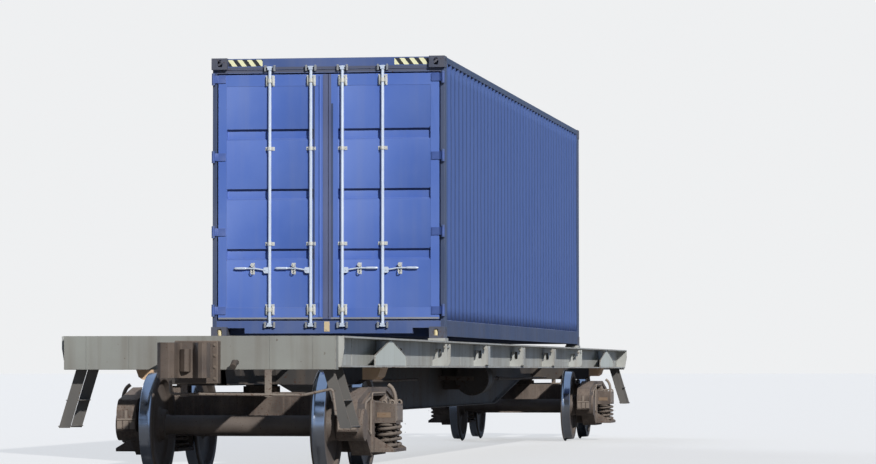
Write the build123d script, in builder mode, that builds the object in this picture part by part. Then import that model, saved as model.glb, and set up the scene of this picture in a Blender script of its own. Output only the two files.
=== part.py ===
from build123d import *
import math
import os

os.makedirs("parts", exist_ok=True)

# Long four-axle container flatcar with one high-cube container on it.
# Millimetres. X runs along the car away from the container's doors, Z is up.
# Z = 0 is the lowest point of the wheel flanges, X = Y = 0 is the middle of the car.

# Wheels and axles
tread_r = 478.5
flange_height = 28.0
flange_width = 33.0
rim_width = 130.0
rim_depth = 70.0
back_to_back = 1440.0
web_thickness = 26.0
hub_r = 135.0
hub_front = 165.0
hub_back = 25.0
axle_mid_r = 86.0
wheel_seat_r = 97.0
journal_r = 65.0
journal_spacing = 2036.0
journal_clearance = 0.1
tread_cone = 1 / 20
flange_r = tread_r + flange_height
axle_z = flange_r

# Bogies
wheelbase = 1850.0
pivot_seat_z = 828.0
pivot_r = 150.0
pivot_clearance = 0.1
pivot_lift = 0.3
bowl_wall = 22.0
bowl_depth = 27.0
bowl_floor = 30.0
spring_r = 100.0
spring_bore_r = 62.0
spring_seat_z = 280.0
spring_top_z = 515.0
spring_row = 195.0
spring_pitch = 225.0
frame_y = journal_spacing / 2
frame_half_width = 90.0
opening_half = 330.0
opening_top_z = 768.0
frame_top_z = 845.0
arm_z = 765.0
horn_z = 445.0
box_r = 145.0
box_half_length = 125.0
box_cover = 18.0
bolster_half_width = 215.0
bolster_low_z = 470.0
bolster_tip_z = 690.0
bolster_shoulder_z = 740.0
wedge_top_z = 670.0
wedge_toe_z = 560.0
wedge_slope = 40.0
wedge_half_width = 70.0
bearer_y = 762.0
bearer_gap = 10.0
shoe_gap = 8.0
shoe_thickness = 48.0
shoe_width = 80.0

# Underframe
car_half_length = 12240.0
bogie_overhang = 2740.0
headstock_depth = 120.0
headstock_inset = 50.0
deck_z = 1300.0
sill_bottom_z = 1028.0
sill_half_width = 1250.0
sill_overhang = 150.0
sill_inset = 110.0
sill_web = 12.0
sill_flange = 18.0
lower_flange_step = 25.0
sill_web_y = sill_half_width - sill_overhang
sill_inner_y = sill_web_y - sill_inset
lower_flange_y = sill_half_width - lower_flange_step
pan_length = 1750.0
pan_shoulder = 110.0
pan_tip = 50.0
pan_thickness = 10.0
center_half_width = 175.0
center_flange_half = 225.0
center_wall = 14.0
center_low_z = 560.0
center_high_z = 870.0
center_rise_gap = 1900.0
center_rise_run = 2600.0
bolster_beam_half = 200.0
bolster_end_z = 915.0
cross_beam_width = 110.0
cross_beam_depth = 190.0
cross_beam_wall = 10.0
coupler_z = 1088.0
coupler_reach = 610.0

# Container
box_length = 12192.0
box_width = 2438.0
box_height = 2896.0
casting_length = 178.0
casting_width = 162.0
casting_height = 118.0
stop_height = 30.0
box_z = deck_z + stop_height
box_top = box_z + box_height
box_end = box_length / 2
bogie_spacing = 2 * (car_half_length - bogie_overhang)
box_side = box_width / 2
sheet = 2.0
side_pitch = 278.0
side_depth = 36.0
side_inset = 8.0
rail_height = 162.0
rail_foot = 20.0
rail_wall = 5.0
rail_lip = 48.0
top_rail = 60.0
floor_thickness = 28.0
floor_top = box_z + 172.0
post_width = 49.0
door_sill_top = box_z + 182.0
sill_foot = 50.0
sill_recess_width = 180.0
sill_recess_height = 56.0
door_header_bottom = box_top - 158.0
door_recess = 52.0
door_depth = 50.0
door_beam_depth = 80.0
door_stile = 90.0
door_rail = 120.0
panel_skin = 3.0
panel_step = 3.0
door_gap = 14.0
door_meeting_gap = 22.0
gasket_lip = 8.0
seam_strip = 27.0
seam_depth = 4.0
rod_inset = 88.0
rod_foot = 118.0
rod_r = 17.0
rod_places = (609.0, 179.0, -151.0, -571.0)
guide_low = 975.0
guide_drop = 939.0
bracket_low = 296.0
bracket_drop = 237.0
guide_heights = (guide_low, box_height - guide_drop)
bracket_heights = (bracket_low, box_height - bracket_drop)
handle_height = 702.0
handle_length = 375.0
handle_rise = 20.0
catch_place = 180.0
hinge_pin_r = 9.0
hinge_eye_r = 17.0
hinge_clearance = 0.1
hinge_inset = 18.0
hinge_blade = 12.0
hinge_reach = 125.0
hinge_low = 287.0
hinge_rise = 811.0
hinge_drop = 216.0
hinge_fall = 806.0
hinge_high = box_height - hinge_drop
hinge_heights = (hinge_low, hinge_low + hinge_rise, hinge_high - hinge_fall, hinge_high)


def save(part, node):
    part.label = node
    export_step(part, f"parts/{node}.step")


def upright(y):
    """Plane facing -Y at y, with sketch coordinates (x, z)."""
    return Plane(origin=(0, y, 0), x_dir=(1, 0, 0), z_dir=(0, -1, 0))


def across(x):
    """Plane facing +X at x, with sketch coordinates (y, z)."""
    return Plane(origin=(x, 0, 0), x_dir=(0, 1, 0), z_dir=(1, 0, 0))


def level(z):
    """Plane facing up at z, with sketch coordinates (x, y)."""
    return Plane.XY.offset(z)


def block(x0, x1, y0, y1, z0, z1, mode=Mode.ADD):
    """Box between two corners, added to the part in hand or cut from it."""
    with Locations(((x0 + x1) / 2, (y0 + y1) / 2, (z0 + z1) / 2)):
        Box(abs(x1 - x0), abs(y1 - y0), abs(z1 - z0), mode=mode)


def prism(plane, points, thickness, both=False, mode=Mode.ADD):
    """Plate of a straight-sided outline, added to the part in hand or cut from it."""
    with BuildSketch(plane) as outline:
        with BuildLine():
            Polyline(*points, close=True)
        make_face()
    extrude(outline.sketch, amount=thickness, both=both, mode=mode)


def bar(start, end, radius, mode=Mode.ADD):
    """Round bar between two points, added to the part in hand or cut from it."""
    run = Vector(end) - Vector(start)
    with BuildSketch(Plane(origin=start, z_dir=run)) as end_circle:
        Circle(radius)
    extrude(end_circle.sketch, amount=run.length, mode=mode)


def placed(part, x):
    """Copy of a part moved along the car."""
    with BuildPart() as copy:
        with Locations((x, 0, 0)):
            add(part)
    return copy.part


# Wheels: flanged, coned tread, dished web and hub, pressed on a stepped axle.
hub_end_y = back_to_back / 2 + hub_front
box_back_y = frame_y - box_half_length
box_front_y = frame_y + box_half_length
axle_end_y = box_front_y - box_cover - 5
taping = 70.0
tread_front_r = tread_r - (rim_width - taping) * tread_cone
tread_back_r = tread_r + (taping - flange_width) * tread_cone
rim_bore_r = tread_r - rim_depth
half_web = web_thickness / 2
rim_web_s = 72.0
hub_web_s = 52.0
wheel_profile = [
    (-hub_back, wheel_seat_r),
    (-hub_back, hub_r),
    (hub_web_s - half_web, hub_r + 12),
    (rim_web_s - half_web, rim_bore_r - 12),
    (0, rim_bore_r),
    (0, flange_r - 14),
    (14, flange_r),
    (flange_width, tread_back_r),
    (rim_width, tread_front_r),
    (rim_width, rim_bore_r),
    (rim_web_s + half_web, rim_bore_r - 12),
    (hub_web_s + half_web, hub_r + 12),
    (hub_front, hub_r),
    (hub_front, wheel_seat_r),
]
axle_plane = Plane(origin=(0, 0, axle_z), x_dir=(0, 1, 0), z_dir=(1, 0, 0))
axle_line = Axis((0, 0, axle_z), (0, 1, 0))
with BuildPart() as wheels:
    for side in (-1, 1):
        with BuildSketch(axle_plane):
            with BuildLine():
                Polyline(*[(side * (back_to_back / 2 + s), r) for s, r in wheel_profile], close=True)
            make_face()
        revolve(axis=axle_line)

axle_steps = [
    (0, axle_mid_r),
    (back_to_back / 2 - hub_back, wheel_seat_r),
    (hub_end_y, journal_r),
    (axle_end_y, 0),
]
with BuildPart() as axle:
    with BuildSketch(axle_plane):
        for (y0, radius), (y1, _) in zip(axle_steps, axle_steps[1:]):
            for side in (-1, 1):
                with Locations((side * (y0 + y1) / 2, radius / 2)):
                    Rectangle(y1 - y0, radius)
    revolve(axis=axle_line)

# Bogie pieces are made about the pivot and copied to both ends.
half_base = wheelbase / 2
jaw_inner = half_base - box_r - 5
jaw_outer = half_base + box_r + 5
column_width = 90.0
lower_z = spring_seat_z - 62
frame_half_outline = [
    (0, frame_top_z),
    (540, frame_top_z),
    (jaw_outer + 40, arm_z - 30),
    (jaw_outer + 108, arm_z - 115),
    (jaw_outer + 108, horn_z),
    (jaw_outer, horn_z),
    (jaw_outer, axle_z + box_r),
    (jaw_inner, axle_z + box_r),
    (jaw_inner, horn_z - 20),
    (jaw_inner - 85, horn_z - 40),
    (opening_half + 70, lower_z),
    (0, lower_z),
]
window_outline = [
    (opening_half + column_width, horn_z - 45),
    (opening_half + column_width, opening_top_z - 12),
    (jaw_inner - 40, arm_z - 65),
    (jaw_inner - 72, horn_z + 55),
]


def both_ways(points):
    """Closed outline from its +X half, mirrored onto -X."""
    return points + [(-x, z) for x, z in reversed(points) if x > 0]


with BuildPart() as side_frame:
    with BuildSketch(upright(0)) as frame_face:
        with BuildLine():
            Polyline(*both_ways(frame_half_outline), close=True)
        make_face()
        rounded = [v for v in frame_face.vertices() if abs(v.Y - axle_z - box_r) > 1]
        top_rounds = [v for v in rounded if v.Y > axle_z]
        fillet(top_rounds, 70)
        low_rounds = [v for v in frame_face.vertices() if v.Y < axle_z and abs(v.X) > opening_half]
        fillet(low_rounds, 22)
        with Locations((0, (spring_seat_z + opening_top_z) / 2)):
            Rectangle(2 * opening_half, opening_top_z - spring_seat_z, mode=Mode.SUBTRACT)
    with BuildSketch(upright(0)) as windows:
        for end in (-1, 1):
            with BuildLine():
                Polyline(*[(end * x, z) for x, z in window_outline], close=True)
            make_face()
        fillet(windows.vertices(), 40)
    with BuildSketch(upright(0)) as pockets:
        for end in (-1, 1):
            with BuildLine():
                Polyline(
                    (end * (opening_half + 110), opening_top_z + 22),
                    (end * (opening_half + 110), opening_top_z + 48),
                    (end * (jaw_inner + 60), arm_z - 23),
                    (end * (jaw_outer + 30), arm_z - 75),
                    (end * (jaw_inner + 20), arm_z - 65),
                    close=True,
                )
            make_face()
        fillet(pockets.vertices(), 8)
    extrude(frame_face.sketch, amount=frame_half_width, both=True)
    extrude(windows.sketch, amount=frame_half_width + 1, both=True, mode=Mode.SUBTRACT)
    for face in (-1, 1):
        with BuildSketch(upright(face * frame_half_width)) as recess:
            add(pockets.sketch.moved(Location((0, face * frame_half_width, 0))))
        extrude(recess.sketch, amount=face * 24, both=True, mode=Mode.SUBTRACT)
    block(
        -opening_half - 25,
        opening_half + 25,
        -spring_row - spring_r,
        spring_row + spring_r,
        spring_seat_z - 32,
        spring_seat_z,
    )
    for end in (-1, 1):
        x0, x1 = end * (opening_half + 6), end * (opening_half + column_width - 6)
        block(x0, x1, -frame_half_width - 22, frame_half_width + 22, spring_seat_z - 32, opening_top_z - 40)
        gusset = [
            (-frame_half_width - 22, spring_seat_z - 32),
            (-spring_row - spring_r, spring_seat_z - 32),
            (-spring_row - spring_r, spring_seat_z),
            (-frame_half_width - 22, spring_seat_z + 110),
            (frame_half_width + 22, spring_seat_z + 110),
            (spring_row + spring_r, spring_seat_z),
            (spring_row + spring_r, spring_seat_z - 32),
            (frame_half_width + 22, spring_seat_z - 32),
        ]
        prism(across(x0), gusset, end * 16)
with BuildPart() as side_frames:
    with Locations((0, frame_y, 0), (0, -frame_y, 0)):
        add(side_frame.part)

with BuildPart() as axle_boxes:
    for side in (-1, 1):
        for end in (-1, 1):
            center = Plane(origin=(end * half_base, side * frame_y, axle_z), z_dir=(0, 1, 0))
            with BuildSketch(center):
                Circle(box_r)
            extrude(amount=box_half_length, both=True)
            block(
                end * half_base - box_r,
                end * half_base + box_r,
                side * frame_y - frame_half_width - 12,
                side * frame_y + frame_half_width + 12,
                axle_z + 20,
                axle_z + box_r,
            )
            bar(
                (end * half_base, side * (box_back_y - 1), axle_z),
                (end * half_base, side * (box_front_y - box_cover), axle_z),
                journal_r + journal_clearance,
                Mode.SUBTRACT,
            )

nest = [
    (-spring_pitch / 2, -spring_row),
    (spring_pitch / 2, -spring_row),
    (-spring_pitch, 0),
    (0, 0),
    (spring_pitch, 0),
    (-spring_pitch / 2, spring_row),
    (spring_pitch / 2, spring_row),
]
coils = 5
coil_height = (spring_top_z - spring_seat_z) / coils
coil_groove = 16.0
coil_profile = [(spring_bore_r, spring_seat_z)]
for turn in range(coils):
    z = spring_seat_z + turn * coil_height
    coil_profile += [
        (spring_r - coil_groove, z),
        (spring_r, z + coil_height * 0.3),
        (spring_r, z + coil_height * 0.7),
    ]
coil_profile += [(spring_r - coil_groove, spring_top_z), (spring_bore_r, spring_top_z)]
with BuildPart() as ringed_spring:
    with BuildSketch(Plane.XZ):
        with BuildLine():
            Polyline(*coil_profile, close=True)
        make_face()
    revolve(axis=Axis.Z)
with BuildPart() as plain_spring:
    with BuildSketch(level(spring_seat_z)):
        Circle(spring_r - coil_groove / 2)
        Circle(spring_bore_r, mode=Mode.SUBTRACT)
    extrude(amount=spring_top_z - spring_seat_z)
with BuildPart() as springs:
    for side in (-1, 1):
        for x, y in nest:
            outside = y > 0
            with Locations((x, side * (frame_y + y), 0)):
                add(ringed_spring.part if outside else plain_spring.part)

bolster_tip = frame_y + spring_row + spring_r - 10
bolster_outline = [
    (-bolster_tip, spring_top_z),
    (-700, spring_top_z),
    (-540, bolster_low_z),
    (540, bolster_low_z),
    (700, spring_top_z),
    (bolster_tip, spring_top_z),
    (bolster_tip, bolster_tip_z),
    (900, bolster_shoulder_z),
    (560, pivot_seat_z - bowl_floor),
    (-560, pivot_seat_z - bowl_floor),
    (-900, bolster_shoulder_z),
    (-bolster_tip, bolster_tip_z),
]
bearer_z = center_high_z - bearer_gap
with BuildPart() as bolster:
    prism(across(0), bolster_outline, bolster_half_width, both=True)
    with BuildSketch(level(pivot_seat_z - bowl_floor)):
        Circle(pivot_r + pivot_clearance + bowl_wall)
    extrude(amount=bowl_floor + bowl_depth)
    with BuildSketch(level(pivot_seat_z)):
        Circle(pivot_r + pivot_clearance)
    extrude(amount=bowl_depth + 1, mode=Mode.SUBTRACT)
    for side in (-1, 1):
        block(-150, 150, side * bearer_y - 60, side * bearer_y + 60, bolster_shoulder_z, bearer_z)

with BuildPart() as wedges:
    for side in (-1, 1):
        for end in (-1, 1):
            points = [
                (end * bolster_half_width, spring_top_z),
                (end * opening_half, spring_top_z),
                (end * opening_half, wedge_top_z),
                (end * (bolster_half_width + wedge_slope), wedge_top_z),
                (end * bolster_half_width, wedge_toe_z),
            ]
            prism(upright(side * frame_y), points, wedge_half_width, both=True)

shoe_y = back_to_back / 2 + taping + 10
shoe_inner_r = tread_r + shoe_gap
shoe_outer_r = shoe_inner_r + shoe_thickness
shoe_half_angle = 18.0
shoe_tilt = 8.0
beam_r = shoe_outer_r + 45
hanger_r = 13.0
hanger_z = opening_top_z + 30
with BuildPart() as brake_beams:
    for end in (-1, 1):
        for side in (-1, 1):
            wheel_face = Plane(
                origin=(end * half_base, side * shoe_y, axle_z), x_dir=(-end, 0, 0), z_dir=(0, end, 0)
            )
            with BuildSketch(wheel_face) as shoe:
                with BuildLine():
                    first = shoe_tilt * -1 - shoe_half_angle
                    CenterArc((0, 0), shoe_inner_r, first, 2 * shoe_half_angle)
                    CenterArc((0, 0), shoe_outer_r, first, 2 * shoe_half_angle)
                    for turn in (first, first + 2 * shoe_half_angle):
                        angle = math.radians(turn)
                        Line(
                            (shoe_inner_r * math.cos(angle), shoe_inner_r * math.sin(angle)),
                            (shoe_outer_r * math.cos(angle), shoe_outer_r * math.sin(angle)),
                        )
                make_face()
            extrude(amount=shoe_width / 2, both=True)
        beam_x = end * (half_base - beam_r * math.cos(math.radians(shoe_tilt)))
        beam_z = axle_z - beam_r * math.sin(math.radians(shoe_tilt))
        block(
            beam_x - 50,
            beam_x + 50,
            -shoe_y - shoe_width / 2 + 10,
            shoe_y + shoe_width / 2 - 10,
            beam_z - 32,
            beam_z + 32,
        )
        for side in (-1, 1):
            hanger_y = side * shoe_y
            bar((beam_x, hanger_y, beam_z + 32), (beam_x, hanger_y, hanger_z + hanger_r), hanger_r)
            hanger_end = side * (frame_y - frame_half_width)
            bar((beam_x, hanger_y, hanger_z), (beam_x, hanger_end, hanger_z), hanger_r)

for index, pivot in enumerate((-1, 1)):
    end_name = ("front", "rear")[index]
    at = pivot * bogie_spacing / 2
    bogie_nodes = {
        "bolster": bolster.part,
        "side_frames": side_frames.part,
        "springs": springs.part,
        "wedges": wedges.part,
        "axle_boxes": axle_boxes.part,
        "brake_beams": brake_beams.part,
    }
    for node, piece in bogie_nodes.items():
        save(placed(piece, at), f"{end_name}_bogie_{node}")
    for side in (-1, 1):
        number = 2 * index + (1 if side < 0 else 2)
        save(placed(wheels.part, at + side * half_base), f"wheels_{number}")
        save(placed(axle.part, at + side * half_base), f"axle_{number}")

# Underframe: hollow fish-bellied centre sill, two side sills, cross beams and body bolsters.
sill_end = car_half_length - headstock_depth
center_rise_end = bogie_spacing / 2 - center_rise_gap
center_low_half = center_rise_end - center_rise_run
belly = [
    (-sill_end, center_high_z),
    (-center_rise_end, center_high_z),
    (-center_low_half, center_low_z),
    (center_low_half, center_low_z),
    (center_rise_end, center_high_z),
    (sill_end, center_high_z),
]
sill_top = deck_z - 8
with BuildPart() as center_sill:
    prism(upright(0), belly + [(sill_end, sill_top), (-sill_end, sill_top)], center_half_width, both=True)
    flange = belly + [(x, z + center_wall) for x, z in reversed(belly)]
    prism(upright(0), flange, center_flange_half, both=True)
    hollow = [(x * 1.001, z + center_wall) for x, z in belly]
    roof = sill_top - center_wall
    prism(
        upright(0),
        hollow + [(sill_end * 1.001, roof), (-sill_end * 1.001, roof)],
        center_half_width - center_wall,
        both=True,
        mode=Mode.SUBTRACT,
    )
save(center_sill.part, "center_sill")

pan_outline = [
    (-pan_length / 2, sill_bottom_z),
    (-pan_length / 2, sill_bottom_z + pan_shoulder),
    (-pan_tip / 2, deck_z - sill_flange),
    (pan_tip / 2, deck_z - sill_flange),
    (pan_length / 2, sill_bottom_z + pan_shoulder),
    (pan_length / 2, sill_bottom_z),
]
with BuildPart() as side_sills:
    for side in (-1, 1):
        block(-sill_end, sill_end, side * sill_inner_y, side * sill_half_width, deck_z - sill_flange, deck_z)
        block(
            -sill_end,
            sill_end,
            side * sill_inner_y,
            side * lower_flange_y,
            sill_bottom_z,
            sill_bottom_z + sill_flange,
        )
        block(
            -sill_end,
            sill_end,
            side * (sill_web_y - sill_web),
            side * sill_web_y,
            sill_bottom_z,
            deck_z,
        )
        for end in (-1, 1):
            end_plate = [
                (side * sill_web_y, sill_bottom_z + sill_flange),
                (side * lower_flange_y, sill_bottom_z + sill_flange),
                (side * sill_half_width, deck_z - sill_flange - 90),
                (side * sill_half_width, deck_z - sill_flange),
                (side * sill_web_y, deck_z - sill_flange),
            ]
            prism(across(end * (sill_end - sill_web / 2)), end_plate, sill_web / 2, both=True)
            points = [(end * bogie_spacing / 2 + x, z) for x, z in pan_outline]
            prism(upright(side * (lower_flange_y - pan_thickness / 2)), points, pan_thickness / 2, both=True)
save(side_sills.part, "side_sills")

pipe_y = -330.0
pipe_r = 21.0
beam_low = deck_z - sill_flange - cross_beam_depth
beam_high = deck_z - sill_flange
pipe_z = beam_low - pipe_r
pipe_end = car_half_length + 90


def pipe_hole(x, reach):
    """Hole for the train pipe, cut from the part in hand."""
    bar((x - reach, pipe_y, pipe_z), (x + reach, pipe_y, pipe_z), pipe_r, Mode.SUBTRACT)


headstock_half = sill_half_width - headstock_inset
with BuildPart() as headstocks:
    for end in (-1, 1):
        block(
            end * sill_end,
            end * car_half_length,
            -headstock_half,
            headstock_half,
            sill_bottom_z - 20,
            deck_z,
        )
        block(
            end * (sill_end - 1),
            end * (car_half_length + 1),
            -120,
            120,
            coupler_z - 110,
            coupler_z + 110,
            Mode.SUBTRACT,
        )
        pipe_hole(end * car_half_length, headstock_depth + 1)
save(headstocks.part, "headstocks")

with BuildPart() as train_pipe:
    bar((-pipe_end, pipe_y, pipe_z), (pipe_end, pipe_y, pipe_z), pipe_r)
    for end in (-1, 1):
        bar((end * pipe_end, pipe_y, pipe_z), (end * (pipe_end + 70), pipe_y, pipe_z - 40), 28)
save(train_pipe.part, "train_pipe")

beam_outline = [
    (-lower_flange_y + 60, sill_bottom_z),
    (-lower_flange_y + 90, bolster_end_z + 25),
    (-lower_flange_y + 130, bolster_end_z),
    (-lower_flange_y + 250, bolster_end_z),
    (-900, center_high_z),
    (-center_flange_half, center_high_z),
    (-center_flange_half, center_high_z + center_wall),
    (-center_half_width, center_high_z + center_wall),
    (-center_half_width, deck_z - sill_flange),
    (-sill_web_y + sill_web, deck_z - sill_flange),
    (-sill_web_y + sill_web, sill_bottom_z + sill_flange),
    (-sill_inner_y, sill_bottom_z + sill_flange),
    (-sill_inner_y, sill_bottom_z),
]
with BuildPart() as body_bolsters:
    for end in (-1, 1):
        for side in (-1, 1):
            points = [(-side * y, z) for y, z in beam_outline]
            prism(across(end * bogie_spacing / 2), points, bolster_beam_half, both=True)
        pipe_hole(end * bogie_spacing / 2, bolster_beam_half + 1)
save(body_bolsters.part, "body_bolsters")

with BuildPart() as center_plates:
    for end in (-1, 1):
        with BuildSketch(level(pivot_seat_z + pivot_lift)):
            with Locations((end * bogie_spacing / 2, 0)):
                Circle(pivot_r)
        extrude(amount=center_high_z - pivot_seat_z - pivot_lift)
save(center_plates.part, "center_plates")

beam_spacing = 1525.0
end_beam_inset = 940.0
outer_beam_x = center_rise_end - 200
stations = [i * beam_spacing for i in range(int(outer_beam_x / beam_spacing))]
stations += [outer_beam_x, car_half_length - end_beam_inset]
beam_flange = 12.0
with BuildPart() as cross_beam:
    low_flange, high_flange = beam_low + beam_flange / 2, beam_high - beam_flange / 2
    with BuildSketch(Plane.XZ.offset(-center_half_width)) as beam_section:
        with Locations((0, low_flange), (0, high_flange)):
            Rectangle(cross_beam_width, beam_flange)
        with Locations((0, (beam_low + beam_high) / 2)):
            Rectangle(cross_beam_wall, beam_high - beam_low)
    extrude(beam_section.sketch, amount=-(sill_web_y - sill_web - center_half_width))
with BuildPart() as cross_beams:
    spots = sorted({s * station for s in (-1, 1) for station in stations})
    with Locations(*[Location((x, 0, 0), (0, 0, turn)) for x in spots for turn in (0, 180)]):
        add(cross_beam.part)
save(cross_beams.part, "cross_beams")

# Stops under the container's corners, and the folded ones along the sides.
casting_x = box_end - casting_length / 2
casting_y = box_side - casting_width / 2
with BuildPart() as corner_stops:
    for end in (-1, 1):
        for side in (-1, 1):
            x, y = end * casting_x, side * casting_y
            block(x - 105, x + 105, y - 90, y + 90, deck_z, box_z)
save(corner_stops.part, "corner_stops")

stop_spacing = 3050.0
folded_places = [-stop_spacing, 0, stop_spacing]
lug_x = 120.0
lug_top_z = deck_z - sill_flange - 12
lug_low_z = sill_bottom_z + sill_flange
swing_y = sill_half_width - 22
swing_z = deck_z - 62
swing_r = 15.0
prong_z = lug_low_z + 165
with BuildPart() as bracket:
    lug_outline = [
        (sill_web_y, lug_low_z),
        (lower_flange_y, lug_low_z),
        (sill_half_width, lug_low_z + 30),
        (sill_half_width, lug_top_z),
        (sill_half_width - 22, lug_top_z),
        (sill_half_width - 34, swing_z - 55),
        (sill_half_width - 52, swing_z - 50),
        (sill_half_width - 60, lug_low_z + 88),
        (sill_web_y + 56, lug_low_z + 84),
        (sill_web_y + 50, prong_z),
        (sill_web_y + 30, prong_z),
        (sill_web_y + 26, lug_low_z + 74),
        (sill_web_y, lug_low_z + 60),
    ]
    for offset in (-lug_x, lug_x):
        prism(across(offset), lug_outline, 8, both=True)
        knob = sill_web_y + 40
        bar((offset - 20, knob, prong_z - 4), (offset + 20, knob, prong_z - 4), 15)
    bar((-lug_x, swing_y, swing_z), (lug_x, swing_y, swing_z), swing_r)
with BuildPart() as hanging_stop:
    bar((-lug_x + 30, swing_y, swing_z), (lug_x - 30, swing_y, swing_z), swing_r + 14)
    block(-lug_x + 30, lug_x - 30, swing_y + 1, swing_y + swing_r + 14, lug_low_z + 30, swing_z)
    block(-lug_x + 16, lug_x - 16, swing_y - 30, swing_y + swing_r + 14, lug_low_z + 12, lug_low_z + 60)
    bar((-lug_x, swing_y, swing_z), (lug_x, swing_y, swing_z), swing_r, Mode.SUBTRACT)
with BuildPart() as folded_stops:
    for side in (0, 180):
        with Locations(*[Location((x, 0, 0), (0, 0, side)) for x in folded_places]):
            add(hanging_stop.part)
save(folded_stops.part, "folded_stops")
with BuildPart() as stop_brackets:
    for side in (0, 180):
        with Locations(*[Location((x, 0, 0), (0, 0, side)) for x in folded_places + [-casting_x, casting_x]]):
            add(bracket.part)
save(stop_brackets.part, "stop_brackets")

# Couplers: shank in the centre sill, flared striker on the headstock, two-clawed head.
head_reach = 300.0
head_back = car_half_length + coupler_reach - head_reach
head_half_height = 150.0
small_claw = [(0, 165), (150, 198), (320, 203), (352, 172), (338, 130), (255, 92), (222, 62)]
throat = [(232, -42), (262, -58)]
big_claw = [(345, -72), (405, -58), (455, -95), (447, -170), (400, -208), (230, -218), (60, -196), (0, -165)]
with BuildPart() as coupler:
    with BuildSketch(level(coupler_z - head_half_height)) as head_plan:
        with BuildLine():
            Polyline(*[(head_back + x, y) for x, y in small_claw + throat + big_claw], close=True)
        make_face()
        fillet(head_plan.vertices(), 14)
    extrude(head_plan.sketch, amount=2 * head_half_height)
    block(head_back - 45, head_back, -175, 175, coupler_z - 115, coupler_z + 145)
    block(sill_end - 500, head_back - 40, -65, 65, coupler_z - 85, coupler_z + 85)
    lock = [(head_back + x, y) for x, y in ((190, 50), (275, 38), (300, 5), (262, -40), (190, -40))]
    prism(level(coupler_z - 95), lock, 190)
with BuildPart() as couplers:
    with Locations(Location((0, 0, 0)), Location((0, 0, 0), (0, 0, 180))):
        add(coupler.part)
save(couplers.part, "couplers")

with BuildPart() as strikers:
    for end in (-1, 1):
        block(
            end * car_half_length,
            end * (car_half_length + 130),
            -190,
            190,
            coupler_z - 200,
            coupler_z + 170,
        )
        block(
            end * (car_half_length - 1),
            end * (car_half_length + 131),
            -110,
            110,
            coupler_z - 105,
            coupler_z + 105,
            Mode.SUBTRACT,
        )
        block(
            end * (car_half_length + 20),
            end * (car_half_length + 110),
            -110,
            110,
            coupler_z - 105,
            coupler_z - 85,
        )
save(strikers.part, "strikers")

# Air brake gear under the frame.
tank_r = 150.0
tank_x = (-2600.0, -1500.0)
tank_y = 560.0
tank_z = 900.0
cylinder_r = 178.0
cylinder_x = (600.0, 1150.0)
cylinder_flange = 120.0
cylinder_rod = 350.0
with BuildPart() as air_reservoir:
    bar((tank_x[0], tank_y, tank_z), (tank_x[1], tank_y, tank_z), tank_r)
    chamfer(air_reservoir.edges().filter_by(GeomType.CIRCLE), 40)
save(air_reservoir.part, "air_reservoir")
with BuildPart() as brake_cylinder:
    x0, x1 = cylinder_x
    bar((x0, -tank_y, tank_z), (x1, -tank_y, tank_z), cylinder_r)
    bar((x0 - cylinder_flange, -tank_y, tank_z), (x0, -tank_y, tank_z), cylinder_r + 25)
    bar((x1, -tank_y, tank_z), (x1 + cylinder_rod, -tank_y, tank_z), 30)
save(brake_cylinder.part, "brake_cylinder")
carriers = (
    (tank_x[0] + 220, tank_y, tank_r),
    (tank_x[1] - 220, tank_y, tank_r),
    (cylinder_x[0] + 100, -tank_y, cylinder_r),
    (cylinder_x[1] - 100, -tank_y, cylinder_r),
)
with BuildPart() as brake_brackets:
    for x, y, radius in carriers:
        side = math.copysign(1, y)
        points = [
            (side * center_half_width, tank_z + 130),
            (side * center_half_width, tank_z - 130),
            (y - side * radius * 0.6, tank_z - 130),
            (y - side * radius * 0.6, tank_z + 130),
        ]
        prism(across(x), points, 20, both=True)
        bar((x - 21, y, tank_z), (x + 21, y, tank_z), radius, Mode.SUBTRACT)
save(brake_brackets.part, "brake_brackets")

# Container: rails, posts and castings, corrugated walls and roof, hinged doors.
rail_end = box_end - casting_length
casting_wall = 17.0
casting_face = 28.0
slot_height = 79.0
slot_width = 51.0
slot_x = box_end - 103.5
slot_y = box_side - 89.5
with BuildPart() as casting:
    block(0, casting_length, 0, casting_width, 0, casting_height)
    block(
        casting_wall,
        casting_length - casting_wall,
        casting_wall,
        casting_width - casting_wall,
        casting_face,
        casting_height - casting_face,
        Mode.SUBTRACT,
    )
    middle = casting_height / 2
    with BuildSketch(level(casting_height - casting_face - 1)) as top_slot:
        with Locations((casting_length - (box_end - slot_x), casting_width - (box_side - slot_y))):
            SlotOverall(124, 63.5)
    extrude(top_slot.sketch, amount=casting_face + 2, mode=Mode.SUBTRACT)
    with BuildSketch(across(casting_length - casting_wall - 1)) as end_slot:
        with Locations((casting_width - (box_side - slot_y), middle)):
            SlotOverall(slot_height, slot_width, rotation=90)
    extrude(end_slot.sketch, amount=casting_wall + 2, mode=Mode.SUBTRACT)
    with BuildSketch(upright(casting_width + 1)) as side_slot:
        with Locations((casting_length - (box_end - slot_x), middle)):
            SlotOverall(slot_height, slot_width, rotation=90)
    extrude(side_slot.sketch, amount=casting_wall + 2, mode=Mode.SUBTRACT)
casting_corner = Pos(rail_end, box_side - casting_width, 0) * casting.part
upper = Pos(0, 0, box_top - casting_height) * casting_corner
lower = Pos(0, 0, box_z) * mirror(casting_corner, about=Plane.XY.offset(casting_height / 2))
with BuildPart() as castings:
    for piece in (upper, lower):
        for mirror_x in (False, True):
            across_x = mirror(piece, about=Plane.YZ) if mirror_x else piece
            add(across_x)
            add(mirror(across_x, about=Plane.XZ))
save(castings.part, "corner_castings")

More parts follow.
